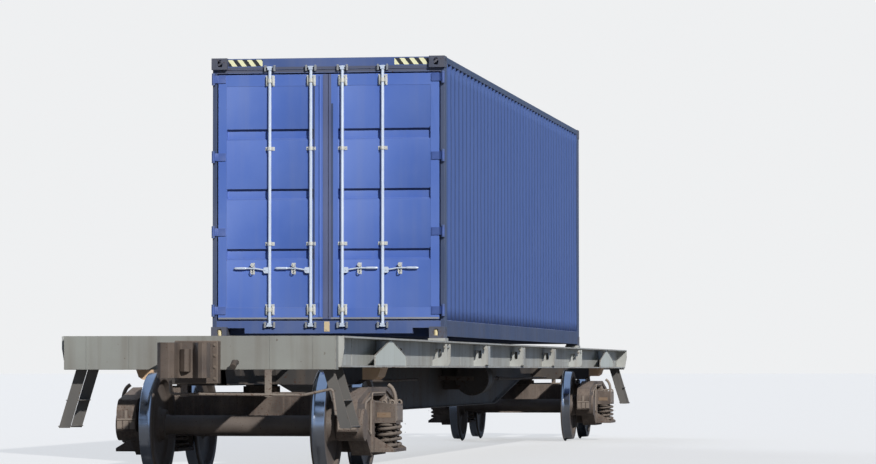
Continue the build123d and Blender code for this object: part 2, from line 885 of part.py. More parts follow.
post_low = box_z + casting_height
post_high = box_top - casting_height
post_faces = {-1: box_end - door_recess, 1: box_end - 4}
with BuildPart() as corner_posts:
    for end, face in post_faces.items():
        for side in (-1, 1):
            block(
                end * rail_end,
                end * face,
                side * (box_side - post_width),
                side * (box_side - 4),
                post_low,
                post_high,
            )
save(corner_posts.part, "corner_posts")

wall_low = box_z + rail_foot + rail_height
with BuildPart() as bottom_rails:
    for side in (-1, 1):
        outer = side * (box_side - 5)
        block(-rail_end, rail_end, outer, outer - side * rail_wall, box_z + rail_foot, wall_low)
        for z in (box_z + rail_foot, wall_low - rail_wall):
            block(-rail_end, rail_end, outer, outer - side * rail_lip, z, z + rail_wall)
save(bottom_rails.part, "bottom_rails")

with BuildPart() as top_rails:
    for side in (-1, 1):
        outer = side * (box_side - 5)
        block(-rail_end, rail_end, outer, outer - side * top_rail, box_top - 4 - top_rail, box_top - 4)
save(top_rails.part, "top_rails")


def corrugated(start, end, pitch, crest, slope, depth, thickness):
    """Outline of a folded sheet from start to end: out, slope, in, slope, and back along the far face."""
    face = []
    count = int((end - start) // pitch)
    left = (start + end - count * pitch) / 2
    face.append((start, 0))
    for i in range(count):
        x = left + i * pitch
        face.append((x + crest / 2, 0))
        face.append((x + crest / 2 + slope, depth))
        face.append((x + pitch - crest / 2 - slope, depth))
        face.append((x + pitch - crest / 2, 0))
    face.append((end, 0))
    back = [(x, d + thickness) for x, d in reversed(face)]
    return face + back


wall_high = box_top - 4 - top_rail
wall_start = rail_end
wall_face = corrugated(-wall_start, wall_start, side_pitch, 72, 68, side_depth, sheet)
for side, name in ((-1, "right"), (1, "left")):
    with BuildPart() as side_wall:
        points = [(x, side * (box_side - side_inset - d)) for x, d in wall_face]
        prism(level(wall_low), points, wall_high - wall_low)
    save(side_wall.part, f"{name}_side_wall")

with BuildPart() as end_wall:
    span = box_side - post_width
    end_face = corrugated(-span, span, 250, 100, 20, 45, sheet)
    points = [(box_end - 10 - d, y) for y, d in end_face]
    prism(level(wall_low), points, post_high - wall_low)
save(end_wall.part, "end_wall")

with BuildPart() as roof:
    roof_face = corrugated(-rail_end, rail_end, 209, 90, 13, 20, sheet)
    points = [(x, box_top - 8 - d - sheet) for x, d in roof_face]
    prism(upright(0), points, box_side - 5 - top_rail, both=True)
save(roof.part, "roof")

with BuildPart() as front_rails:
    span = box_side - casting_width
    block(box_end - 60, box_end - 5, -span, span, post_high, box_top - 4)
    block(box_end - 60, box_end - 5, -span, span, box_z + rail_foot, wall_low)
save(front_rails.part, "front_end_rails")

door_face = -box_end + door_recess
beam_back = door_face + door_beam_depth
post_span = box_side - post_width
with BuildPart() as door_header:
    block(door_face, beam_back, -span, span, door_header_bottom, box_top - 4)
    block(door_face, beam_back, -post_span, post_span, door_header_bottom, post_high)
save(door_header.part, "door_header")
with BuildPart() as door_sill:
    sill_low = box_z + sill_foot
    recess_top = sill_low + sill_recess_height
    block(door_face, beam_back, -span, span, sill_low, door_sill_top)
    block(door_face, beam_back, -post_span, post_span, post_low, door_sill_top)
    for side in (-1, 1):
        recess_y = side * (span - sill_recess_width)
        block(door_face - 1, beam_back + 1, side * span, recess_y, sill_low, recess_top, Mode.SUBTRACT)
save(door_sill.part, "door_sill")

with BuildPart() as container_floor:
    block(
        beam_back,
        box_end - 60,
        -box_side + 55,
        box_side - 55,
        floor_top - floor_thickness,
        floor_top,
    )
save(container_floor.part, "container_floor")

floor_beam_pitch = 410.0
floor_beam_count = 2 * int((box_end - 300) / floor_beam_pitch) + 1
with BuildPart() as floor_beam:
    foot, head = box_z + rail_foot, floor_top - floor_thickness
    with BuildSketch(Plane.XZ.offset(-box_side + 56)) as channel:
        with Locations((0, (foot + head) / 2)):
            Rectangle(6, head - foot)
        with Locations((12, foot + 2.5), (12, head - 2.5)):
            Rectangle(30, 5)
    extrude(channel.sketch, amount=2 * (box_side - 56))
with BuildPart() as floor_beams:
    with GridLocations(floor_beam_pitch, 1, floor_beam_count, 1):
        add(floor_beam.part)
save(floor_beams.part, "floor_beams")

pin_x = -box_end + hinge_inset
pin_y = box_side - hinge_inset
door_low = door_sill_top + door_gap
door_high = door_header_bottom - door_gap
door_edge = box_side - post_width - door_gap
lug_half = 62.0
blade_half = 40.0
with BuildPart() as hinge_lugs:
    for side in (-1, 1):
        for height in hinge_heights:
            z = box_z + height
            for low, high in ((z - lug_half, z - blade_half - 1), (z + blade_half + 1, z + lug_half)):
                bar((pin_x, side * pin_y, low), (pin_x, side * pin_y, high), hinge_eye_r)
                block(
                    pin_x,
                    door_face,
                    side * (pin_y - 14),
                    side * (pin_y + 14),
                    low,
                    high,
                )
            bar((pin_x, side * pin_y, z - lug_half), (pin_x, side * pin_y, z + lug_half), hinge_pin_r)
save(hinge_lugs.part, "hinge_lugs")

rod_x = -box_end + 28
panel_face = door_face + panel_step
groove_low = 866.0
groove_drop = 793.0
groove_high = box_height - groove_drop
panel_grooves = (groove_low, (groove_low + groove_high) / 2, groove_high)
groove_half = 58.0
groove_slope = 22.0
groove_face = door_face + 38
for side, name in ((-1, "right"), (1, "left")):
    meeting = side * door_meeting_gap / 2
    with BuildPart() as door:
        back_face = door_face + door_depth
        outer_stile = side * (door_edge - door_stile)
        inner_stile = meeting + side * door_stile
        block(door_face, back_face, side * door_edge, outer_stile, door_low, door_high)
        block(door_face, back_face, meeting, inner_stile, door_low, door_high)
        for low, high in ((door_low, door_low + door_rail), (door_high - door_rail, door_high)):
            block(door_face, back_face, side * door_edge, meeting, low, high)
        face = [(panel_face, door_low + door_rail / 2)]
        for height in panel_grooves:
            z = box_z + height
            face.append((panel_face, z - groove_half))
            face.append((groove_face, z - groove_half + groove_slope))
            face.append((groove_face, z + groove_half - groove_slope))
            face.append((panel_face, z + groove_half))
        face.append((panel_face, door_high - door_rail / 2))
        back = [(x + panel_skin, z) for x, z in reversed(face)]
        width = abs(outer_stile - inner_stile)
        prism(upright((outer_stile + inner_stile) / 2), face + back, width / 2, both=True)
        for height in hinge_heights:
            z = box_z + height
            bar((pin_x, side * pin_y, z - blade_half), (pin_x, side * pin_y, z + blade_half), hinge_eye_r)
            corner = pin_y - door_edge
            blade = [
                (-7, 4),
                (door_face - pin_x - hinge_blade, corner),
                (door_face - pin_x - hinge_blade, hinge_reach),
                (door_face - pin_x, hinge_reach),
                (door_face - pin_x, corner - 8),
                (5, -5),
            ]
            points = [(pin_x + x, side * (pin_y - y)) for x, y in blade]
            prism(level(z - blade_half), points, 2 * blade_half)
            bar(
                (pin_x, side * pin_y, z - blade_half - 1),
                (pin_x, side * pin_y, z + blade_half + 1),
                hinge_pin_r + hinge_clearance,
                Mode.SUBTRACT,
            )
    save(door.part, f"{name}_door")
    with BuildPart() as gasket:
        lip_x = back_face - 20
        lip_y = side * (door_edge + gasket_lip)
        meeting_lip = side * (door_meeting_gap / 2 - gasket_lip)
        block(lip_x, back_face, lip_y, meeting_lip, door_low - gasket_lip, door_low)
        block(lip_x, back_face, lip_y, meeting_lip, door_high, door_high + gasket_lip)
        block(lip_x, back_face, lip_y, side * door_edge, door_low, door_high)
        block(door_face - seam_depth, back_face, meeting_lip, meeting, door_low, door_high)
        strip_y = meeting_lip + side * seam_strip
        block(door_face - seam_depth, door_face, meeting_lip, strip_y, door_low, door_high)
    save(gasket.part, f"{name}_door_gasket")
    with BuildPart() as lock_gear:
        for rod_y in rod_places:
            if rod_y * side > 0:
                bar((rod_x, rod_y, box_z + rod_foot), (rod_x, rod_y, box_top - rod_inset), rod_r)
                for low in (box_z + rod_foot, box_top - rod_inset - 40):
                    block(rod_x - 22, rod_x + 16, rod_y - 30, rod_y + 30, low, low + 40)
                for height in guide_heights:
                    z = box_z + height
                    block(rod_x, panel_face, rod_y - 48, rod_y + 48, z - 18, z + 18)
                for height in bracket_heights:
                    z = box_z + height
                    block(rod_x, door_face, rod_y - 48, rod_y + 48, z - 56, z + 56)
                z = box_z + handle_height
                hub_y = rod_y + side * 42
                block(rod_x - 12, rod_x + 12, rod_y, hub_y + side * 22, z - 31, z + 31)
                catch_y = rod_y + side * catch_place
                bar((rod_x, hub_y, z), (rod_x, catch_y, z + handle_rise), 9)
                grip_y = rod_y + side * handle_length
                bar((rod_x, catch_y, z + handle_rise), (rod_x, grip_y, z + handle_rise), 14)
                block(rod_x - 20, panel_face, catch_y - 21, catch_y + 21, z - 44, z + 78)
    save(lock_gear.part, f"{name}_door_lock_gear")

keeper_reach = 40.0
with BuildPart() as cam_keepers:
    for rod_y in rod_places:
        for low in (box_z + rod_foot - 10, box_top - rod_inset - 50):
            for offset in (-48, 48):
                block(
                    door_face - keeper_reach,
                    door_face,
                    rod_y + offset - 9,
                    rod_y + offset + 9,
                    low,
                    low + 60,
                )
save(cam_keepers.part, "cam_keepers")

# Inclined steps at the corners of the car: two stringers and two treads each.
step_width = 420.0
step_end_gap = 220.0
step_low_y = sill_half_width
step_top_y = step_low_y - 160
step_x = (car_half_length - step_end_gap - step_width, car_half_length - step_end_gap)
step_low_z = 500.0
step_half = 50.0
stringer_half = 5.0
tread_half = 60.0
tread_thickness = 8.0
with BuildPart() as corner_steps:
    for end in (-1, 1):
        for side in (-1, 1):
            points = [
                (side * (step_top_y - step_half), sill_bottom_z),
                (side * (step_top_y + step_half), sill_bottom_z),
                (side * (step_low_y + step_half), step_low_z),
                (side * (step_low_y - step_half), step_low_z),
            ]
            for x in step_x:
                prism(across(end * x), points, stringer_half, both=True)
            for share in (0.02, 0.45):
                z = step_low_z + share * (sill_bottom_z - step_low_z)
                y = side * (step_low_y + share * (step_top_y - step_low_y))
                y0, y1 = y - tread_half, y + tread_half
                block(end * step_x[0], end * step_x[1], y0, y1, z, z + tread_thickness)
save(corner_steps.part, "corner_steps")
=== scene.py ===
import math

import bmesh
import bpy
import numpy as np
from mathutils import Matrix, Vector


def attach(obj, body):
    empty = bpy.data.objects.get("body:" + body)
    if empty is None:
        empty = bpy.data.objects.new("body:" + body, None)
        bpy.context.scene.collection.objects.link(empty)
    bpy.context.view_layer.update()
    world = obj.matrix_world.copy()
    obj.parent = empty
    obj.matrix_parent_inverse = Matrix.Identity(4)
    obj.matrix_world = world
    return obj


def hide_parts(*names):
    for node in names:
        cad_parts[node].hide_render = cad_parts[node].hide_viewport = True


# A long four-axle flatcar that carries one high-cube container, dressed over its CAD solids.
# Metres; +X runs away from the container's doors, +Z is up and Z = 0 is under the wheel flanges.
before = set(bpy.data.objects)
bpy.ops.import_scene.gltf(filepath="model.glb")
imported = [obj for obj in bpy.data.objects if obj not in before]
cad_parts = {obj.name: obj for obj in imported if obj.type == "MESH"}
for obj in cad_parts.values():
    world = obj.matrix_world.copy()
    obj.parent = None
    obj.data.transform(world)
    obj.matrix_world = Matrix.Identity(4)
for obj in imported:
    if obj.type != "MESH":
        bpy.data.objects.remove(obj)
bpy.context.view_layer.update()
collection = bpy.context.scene.collection
bogie_x = 9.5

# Side sills. Two welded I-section beams carry the load along the car's sides, with pentagon plates
# welded over the bogies. Light grey paint, dull with dust, and rust at the edges and welds.


def put(tree, kind, inputs=(), **settings):
    """Adds a shader node with its settings, and feeds its inputs with values or links."""
    made = tree.nodes.new("ShaderNode" + kind)
    for key, value in settings.items():
        setattr(made, key, value)
    for key, value in dict(inputs).items():
        if isinstance(value, bpy.types.NodeSocket):
            tree.links.new(value, made.inputs[key])
        else:
            made.inputs[key].default_value = value
    return made


def calc(operation, *values, clamp=False):
    """One arithmetic step, in the tree that its links are in, held between 0 and 1 if it is clamped."""
    tree = next(value.id_data for value in values if isinstance(value, bpy.types.NodeSocket))
    return put(tree, "Math", enumerate(values), operation=operation, use_clamp=clamp).outputs[0]


def times(value, *others):
    """The product of values or links."""
    for other in others:
        value = calc("MULTIPLY", value, other)
    return value


def span(value, low, high):
    """0 at low and 1 at high, held there beyond them."""
    return put(value.id_data, "MapRange", {0: value, 1: low, 2: high}).outputs[0]


def tint(share, first, second):
    """The first colour where the share is 0 and the second where it is 1."""
    return put(share.id_data, "Mix", {0: share, 6: first, 7: second}, data_type="RGBA").outputs[2]


def speckle(place, scale, detail):
    """Noise from 0 to 1 at a place, with so many features a metre."""
    return put(place.id_data, "TexNoise", {"Vector": place, "Scale": scale, "Detail": detail}).outputs[0]


def axes(tree, kind):
    """The x, y and z of the shaded point's object coordinates, or of its normal."""
    return put(tree, "SeparateXYZ", {0: put(tree, "TexCoord").outputs[kind]}).outputs


def effect(name, colours, amounts=(), outputs=("Color",)):
    """An empty shader node group: its tree, its inputs (colours, then amounts) and its outputs."""
    tree = bpy.data.node_groups.new(name, "ShaderNodeTree")
    for label in colours:
        tree.interface.new_socket(label, in_out="INPUT", socket_type="NodeSocketColor")
    for label in amounts:
        tree.interface.new_socket(label, in_out="INPUT", socket_type="NodeSocketFloat")
    for label in outputs:
        kind = "NodeSocketColor" if label == "Color" else "NodeSocketFloat"
        tree.interface.new_socket(label, in_out="OUTPUT", socket_type=kind)
    return tree, tree.nodes.new("NodeGroupInput").outputs, tree.nodes.new("NodeGroupOutput").inputs


# Weathering on steel: paint fades in patches, dust lies on what faces up and runs down in streaks,
# and rust breaks through in spots. Height is the roughness of rust and orange peel.
colour_names = "Paint", "Faded", "Dust", "Rust"
amount_names = "Fading", "Dustiness", "Streaking", "Rusting", "Gloss", "Scale"
weathering, given, result = effect("weathering", colour_names, amount_names, ("Color", "Roughness", "Height"))
place = put(weathering, "TexCoord").outputs["Object"]
place = put(weathering, "VectorMath", {0: place, "Scale": given["Scale"]}, operation="SCALE").outputs[0]
patches = span(speckle(place, 1.3, 5), 0.36, 0.66)
hung = put(weathering, "Mapping", {"Vector": place, "Scale": (1, 1, 0.06)}).outputs[0]
streaks = span(speckle(hung, 9, 3), 0.48, 0.74)
grain = speckle(place, 70, 4)
spots = speckle(place, 24, 9)
upward = calc("MAXIMUM", axes(weathering, "Normal")[2], 0.0)
painted = tint(times(patches, given["Fading"]), given["Paint"], given["Faded"])
settled = calc("ADD", times(patches, 0.45), upward)
settled = times(settled, calc("ADD", grain, 0.35))
dusty = calc("MULTIPLY", settled, given["Dustiness"], clamp=True)
dusty = calc("ADD", dusty, times(streaks, given["Streaking"]), clamp=True)
covered = tint(dusty, painted, given["Dust"])
threshold = calc("SUBTRACT", 0.78, times(given["Rusting"], 0.34))
rusty = span(calc("SUBTRACT", spots, threshold), 0.0, 0.09)
weathering.links.new(tint(rusty, covered, given["Rust"]), result["Color"])
dull = times(calc("MAXIMUM", dusty, rusty), 0.4)
rough = calc("ADD", calc("ADD", given["Gloss"], dull), times(grain, 0.12))
weathering.links.new(rough, result["Roughness"])
height = calc("ADD", times(grain, 0.5), times(rusty, 0.7))
weathering.links.new(height, result["Height"])


def finish(name, paint, faded, dust, rust, amounts, scale=1.0, metal=0.0, bump=0.0008):
    """A material of one weathered finish: its four colours, its amounts of fading, dust, streaks, rust
    and roughness, how fine its patches are, how metallic it is and how high its bumps, in metres."""
    material = bpy.data.materials.new(name)
    material.use_nodes = True
    tree = material.node_tree
    shader = tree.nodes["Principled BSDF"]
    worn = tree.nodes.new("ShaderNodeGroup")
    worn.node_tree = weathering
    for label, colour in zip(colour_names, (paint, faded, dust, rust)):
        worn.inputs[label].default_value = (*colour, 1)
    for label, amount in zip(amount_names, (*amounts, scale)):
        worn.inputs[label].default_value = amount
    raised = put(tree, "Bump", {"Strength": 1.0, "Distance": bump, "Height": worn.outputs["Height"]})
    tree.links.new(worn.outputs["Color"], shader.inputs["Base Color"])
    tree.links.new(worn.outputs["Roughness"], shader.inputs["Roughness"])
    tree.links.new(raised.outputs[0], shader.inputs["Normal"])
    shader.inputs["Metallic"].default_value = metal
    return material


def overlaid(name, base, group, colours):
    """A copy of a finish whose colour first goes through a shader group with its own colours."""
    material = base.copy()
    material.name = name
    tree = material.node_tree
    shader = tree.nodes["Principled BSDF"]
    over = tree.nodes.new("ShaderNodeGroup")
    over.node_tree = group
    tree.links.new(shader.inputs["Base Color"].links[0].from_socket, over.inputs[0])
    for label, colour in colours.items():
        over.inputs[label].default_value = (*colour, 1)
    tree.links.new(over.outputs["Color"], shader.inputs["Base Color"])
    return material


def piece(name, mesh, body, slot, *materials, nodes=()):
    """An object at the origin with a finished mesh, which rides on a body and stands for CAD nodes."""
    made = bpy.data.objects.new(name, mesh)
    collection.objects.link(made)
    mesh.materials.clear()
    for material in materials:
        mesh.materials.append(material)
    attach(made, body)
    if nodes:
        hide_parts(*nodes)
    return made


def rounded_copy(node, body, slot, paint, worn, width, segments=2, corner=35):
    """A copy of a CAD node with merged corners, joined flat faces and rounded edges. The rounded strips
    have the worn finish, as paint goes from an edge first."""
    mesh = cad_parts[node].data.copy()
    work = bmesh.new()
    work.from_mesh(mesh)
    bmesh.ops.remove_doubles(work, verts=work.verts, dist=2e-5)
    bmesh.ops.dissolve_limit(work, angle_limit=0.01, verts=work.verts, edges=work.edges)
    work.to_mesh(mesh)
    work.free()
    mesh.shade_smooth()
    mesh.set_sharp_from_angle(angle=math.radians(corner))
    made = piece(node + "_finished", mesh, body, slot, paint, worn, nodes=(node,))
    rounding = made.modifiers.new("rounded edges", "BEVEL")
    rounding.width = width
    rounding.segments = segments
    rounding.limit_method = "ANGLE"
    rounding.angle_limit = math.radians(corner)
    rounding.use_clamp_overlap = True
    rounding.material = 1
    rounding.harden_normals = True
    return made


plain_rust = (0.085, 0.046, 0.03)
frame_grey = finish("frame_grey_paint", (0.42, 0.44, 0.43), (0.35, 0.355, 0.335), (0.25, 0.225, 0.195),
                    plain_rust, (0.9, 0.35, 0.5, 0.28, 0.5))
frame_edge = finish("frame_grey_edges", (0.36, 0.365, 0.34), (0.42, 0.415, 0.38), (0.22, 0.185, 0.155),
                    plain_rust, (0.8, 0.6, 0.5, 0.75, 0.55))
side_sills = rounded_copy("side_sills", "car", "frame_paint", frame_grey, frame_edge, 0.0025)
# The outward faces of the pentagon plates are painted lighter: a painted highlight of the sun on them.
covers, given, result = effect("cover_plates", ("Paint", "Sunlit face"))
_, across, above = axes(covers, "Object")
aside = calc("ABSOLUTE", across)
outer = calc("GREATER_THAN", calc("ABSOLUTE", axes(covers, "Normal")[1]), 0.7)
outer = times(outer, span(aside, 1.21, 1.215), span(aside, 1.24, 1.235), span(above, 1.046, 1.052), 0.62)
covers.links.new(tint(outer, given["Paint"], given["Sunlit face"]), result["Color"])
plates = overlaid("frame_grey_plates", frame_grey, covers, {"Sunlit face": (0.67, 0.735, 0.7)})
side_sills.data.materials[0] = plates

# Welds and small plates on the side sills: beads round the pentagon plates, seams where lengths of
# beam are joined, and one bare square plate a side that once held papers.


def unit(vectors):
    """Vectors scaled to a length of 1."""
    vectors = np.array(vectors, float)
    return vectors / np.linalg.norm(vectors, axis=-1, keepdims=True)


def strip_faces(rows, columns, close_rows=False, close_columns=True):
    """Corner numbers of the squares of a grid of points, numbered row by row."""
    r = np.arange(rows if close_rows else rows - 1)[:, None]
    c = np.arange(columns if close_columns else columns - 1)[None, :]
    r1, c1 = (r + 1) % rows, (c + 1) % columns
    corners = [r * columns + c, r * columns + c1, r1 * columns + c1, r1 * columns + c]
    return np.stack(corners, -1).reshape(-1, 4)


def wire(path, side, up, radius, around):
    """A round bar along a path: each point of the path gets a ring in the plane of its side and up
    directions, and a face closes each end. Returns points, squares and end faces."""
    turn = np.linspace(0, 2 * np.pi, around, endpoint=False)
    ring = side[:, None] * np.cos(turn)[:, None] + up[:, None] * np.sin(turn)[:, None]
    points = (path[:, None] + radius * ring).reshape(-1, 3)
    first, last = np.arange(around), (len(path) - 1) * around + np.arange(around)
    return points, strip_faces(len(path), around), [first[::-1], last]


def tube(line, lean, radius, around, ripple=1.0):
    """A round bar along a line, whose rings stand across it and are turned by a lean vector."""
    along = unit(np.gradient(line, axis=0))
    side = unit(np.cross(along, lean))
    return wire(line, side * ripple, np.cross(along, side) * ripple, radius, around)


def weld(path, radius=0.004):
    """A weld bead: a round bar along a path of corner points, rippled as the torch steps along."""
    path, stride = np.array(path, float), 0.012
    reach = np.concatenate([[0], np.cumsum(np.linalg.norm(np.diff(path, axis=0), axis=1))])
    s = np.linspace(0, reach[-1], max(int(reach[-1] / stride), len(path) * 2))
    line = np.stack([np.interp(s, reach, path[:, k]) for k in range(3)], -1)
    return tube(line, [0.31, 0.86, 0.41], radius, 6, (1 + 0.18 * np.sin(2 * s / stride))[:, None])


def bolts(places, outward, size, depth):
    """Hexagon bolt heads with a washer under each: a stepped, chamfered prism of rings of 12 points,
    copied to each place along its outward direction."""
    outward, around = unit(outward), 12
    side = unit(np.cross(outward, [0.35, 0.2, 0.91]))
    up = np.cross(outward, side)
    turn = np.linspace(0, 2 * np.pi, around, endpoint=False)
    spokes = side * np.cos(turn)[:, None] + up * np.sin(turn)[:, None]
    hexagon = 0.5 / np.cos((turn + np.pi / 6) % (np.pi / 3) - np.pi / 6)
    washer = np.full(around, 0.78)
    rings = [(0, washer), (0.16, washer), (0.16, hexagon), (0.86, hexagon), (1.0, hexagon * 0.86)]
    head = np.stack([depth * high * outward + size * wide[:, None] * spokes for high, wide in rings])
    points = (head.reshape(1, -1, 3) + np.array(places, float)[:, None]).reshape(-1, 3)
    shift = (np.arange(len(places)) * len(rings) * around)[:, None, None]
    squares = (strip_faces(len(rings), around)[None] + shift).reshape(-1, 4)
    return points, squares, list((len(rings) - 1) * around + np.arange(around)[None] + shift[:, 0])


def plate(outline, start, thickness, axis):
    """A flat plate: an outline of (a, b) points in the plane across an axis, from start through the
    thickness along that axis."""
    a, b = np.array(outline, float).T
    order = {"x": (2, 0, 1), "y": (0, 2, 1), "z": (0, 1, 2)}[axis]
    faces = [np.stack([a, b, np.full(len(a), level)], -1)[:, order] for level in (start, start + thickness)]
    rim = np.arange(len(a))
    return np.concatenate(faces), strip_faces(2, len(a)), [rim[::-1], rim + len(a)]


def slab(a, b, start, thickness, axis):
    """A rectangular plate between two values of a and two of b."""
    return plate([(a[0], b[0]), (a[1], b[0]), (a[1], b[1]), (a[0], b[1])], start, thickness, axis)


def mesh_of(name, parts, smooth):
    """One mesh from several lots of (points, faces, end faces), shaded smooth up to an angle."""
    points, faces, start = [], [], 0
    for lot, squares, ends in parts:
        points.append(lot)
        faces += (squares + start).tolist() + [(end + start).tolist() for end in ends]
        start += len(lot)
    mesh = bpy.data.meshes.new(name)
    mesh.from_pydata(np.concatenate(points), [], faces)
    mesh.shade_smooth()
    mesh.set_sharp_from_angle(angle=math.radians(smooth))
    return mesh


def built(name, parts, body, slot, material, smooth=40, nodes=()):
    """A piece from lots of (points, faces, end faces), with all its faces turned outwards."""
    mesh = mesh_of(name, parts, smooth)
    work = bmesh.new()
    work.from_mesh(mesh)
    bmesh.ops.recalc_face_normals(work, faces=work.faces)
    work.to_mesh(mesh)
    work.free()
    return piece(name, mesh, body, slot, material, nodes=nodes)


beads = []
for side in (-1, 1):
    edge, web = side * 1.2255, side * 1.1005
    for x in (-bogie_x, bogie_x):
        x0, x1 = x - 0.875, x + 0.875
        beads.append(weld([(x0, edge, 1.035), (x0, edge, 1.138), (x - 0.025, edge, 1.282),
                           (x + 0.025, edge, 1.282), (x1, edge, 1.138), (x1, edge, 1.035)]))
        beads.append(weld([(x0, edge, 1.03), (x1, edge, 1.03)]))
    beads += [weld([(x, web, 1.048), (x, web, 1.28)], 0.003) for x in (-10.9, -4.2, 4.2, 10.9)]
built("sill_welds", beads, "car", "frame_paint", frame_edge, 60)
holders = []
for side, x in ((-1, -8.2), (1, 8.2)):
    start = 1.1 if side > 0 else -1.106
    holders.append(slab((x - 0.045, x + 0.045), (1.105, 1.215), start, 0.006, "y"))
    corners = [(x + dx, side * 1.106, 1.16 + dz) for dx in (-0.033, 0.033) for dz in (-0.042, 0.042)]
    holders.append(bolts(corners, (0, side, 0), 0.012, 0.006))
built("paper_holders", holders, "car", "frame_paint", frame_edge)

# Headstocks, the beams across both ends of the car, and their corner gussets. Pressed and welded
# plate in the frame's paint, a darker grey than on the sides.
end_grey = finish("headstock_paint", (0.28, 0.295, 0.275), (0.22, 0.225, 0.212), (0.17, 0.155, 0.135),
                  plain_rust, (0.8, 0.4, 0.5, 0.26, 0.55))
rounded_copy("headstocks", "car", "frame_paint", end_grey, frame_edge, 0.006, 3)
seams = []
for face in (-12.2405, 12.2405):
    seams += [weld([(face, y, 1.018), (face, y, 1.292)], 0.0035) for y in (-1.0, -0.62, 0.62, 1.0)]
    seams += [weld([(face, y0, 1.012), (face, y0 + 0.99, 1.012)], 0.003) for y0 in (-1.19, 0.2)]
built("headstock_welds", seams, "car", "frame_paint", end_grey, 60)

# Centre sill, cross beams, body bolsters and centre plates. Welded plate painted near black, a painted
# shade for the dark under the car, and brake dust turns it brown; the centre plates are turned steel that
# sits in the bogie bowls, and are drawn in a little, so that they turn free there.
dark_frame = finish("underframe_dark_paint", (0.03, 0.028, 0.027), (0.055, 0.047, 0.041),
                    (0.1, 0.078, 0.062), (0.05, 0.028, 0.02), (0.8, 0.5, 0.5, 0.5, 0.6))
dark_edge = finish("underframe_dark_edges", (0.055, 0.045, 0.038), (0.085, 0.068, 0.056),
                   (0.13, 0.1, 0.08), (0.06, 0.033, 0.022), (0.8, 0.8, 0.5, 0.7, 0.62))
for node, width in (("center_sill", 0.004), ("cross_beams", 0.002)):
    rounded_copy(node, "car", "underframe_dark", dark_frame, dark_edge, width)
discs = rounded_copy("center_plates", "car", "underframe_dark", dark_frame, dark_edge, 0.002).data
corners = np.empty(3 * len(discs.vertices))
discs.vertices.foreach_get("co", corners)
corners = corners.reshape(-1, 3)
axis = np.sign(corners) * (bogie_x, 0, 0) + (0, 0, corners[:, 2].max())
discs.vertices.foreach_set("co", (axis + (corners - axis) * (0.996, 0.996, 0.99)).ravel())
body_bolsters = rounded_copy("body_bolsters", "car", "underframe_dark", dark_frame, dark_edge, 0.005)
primed, given, result = effect("primed_tips", ("Paint", "Primer"))
tip = span(calc("ABSOLUTE", axes(primed, "Object")[1]), 0.985, 0.995)
primed.links.new(tint(tip, given["Paint"], given["Primer"]), result["Color"])
for index, base in enumerate((dark_frame, dark_edge)):
    tipped = overlaid(base.name + "_tipped", base, primed, {"Primer": (0.6, 0.42, 0.27)})
    body_bolsters.data.materials[index] = tipped

# Container stops: seats under the container's corners, and the side brackets whose stops are folded
# down. Welded plate in the frame's paint; the hinge bars are held by a washer at each end.
rounded_copy("corner_stops", "car", "casting", frame_grey, frame_edge, 0.0015)
for node in ("stop_brackets", "folded_stops"):
    rounded_copy(node, "car", "frame_paint", frame_grey, frame_edge, 0.0015)
pins = [bolts([(x + tip * 0.128, side * 1.228, 1.238)], (tip, 0, 0), 0.02, 0.01)
        for side in (-1, 1) for x in (-6.007, -3.05, 0, 3.05, 6.007) for tip in (-1, 1)]
built("bracket_pin_ends", pins, "car", "frame_paint", frame_edge)

# Couplers and strikers. Raw steel castings with generous rounds, brown all over.
raw_cast = finish("coupler_cast_steel", (0.075, 0.058, 0.048), (0.12, 0.092, 0.075), (0.17, 0.135, 0.105),
                  (0.08, 0.04, 0.025), (0.9, 0.5, 0.2, 0.5, 0.62), 3.5, bump=0.0016)
cast_edge = finish("coupler_cast_edges", (0.12, 0.095, 0.077), (0.17, 0.135, 0.11), (0.21, 0.17, 0.13),
                   (0.09, 0.045, 0.028), (0.9, 0.5, 0.1, 0.5, 0.5), 2.5, bump=0.0012)
rounded_copy("couplers", "car", "coupler_cast", raw_cast, cast_edge, 0.012, 3)
rounded_copy("strikers", "car", "coupler_cast", raw_cast, cast_edge, 0.008, 3)
rivets = [bolts([(end * 12.37, y, z) for z in (0.93, 1.03, 1.13, 1.22)], (end, 0, 0), 0.02, 0.012)
          for end in (-1, 1) for y in (-0.165, 0.165)]
built("striker_bolts", rivets, "car", "coupler_cast", cast_edge)

# Uncoupling levers: a bent round bar along each headstock, in two hangers, with a hand grip that
# hangs at the corner and a link up to the coupler's lock.


def eased(corners, bend, steps=7):
    """A line with filleted bends: each corner becomes a quadratic curve between points at the bend's
    distance from it, nearer where a leg is short."""
    corners = np.array(corners, float)
    runs = np.diff(corners, axis=0)
    reach = np.linalg.norm(runs, axis=1, keepdims=True)
    heading = runs / reach
    before = corners[1:-1] - heading[:-1] * np.minimum(bend, reach[:-1] * 0.45)
    after = corners[1:-1] + heading[1:] * np.minimum(bend, reach[1:] * 0.45)
    t = np.linspace(0, 1, steps)[:, None]
    arcs = before[:, None] * (1 - t) ** 2 + 2 * corners[1:-1, None] * t * (1 - t) + after[:, None] * t ** 2
    return np.concatenate([corners[:1], arcs.reshape(-1, corners.shape[1]), corners[-1:]])


def bent_bar(corners, radius, around=12, bend=0.035):
    """A round bar along a line with filleted bends."""
    return tube(eased(corners, bend), [0.22, 0.37, 0.9], radius, around)


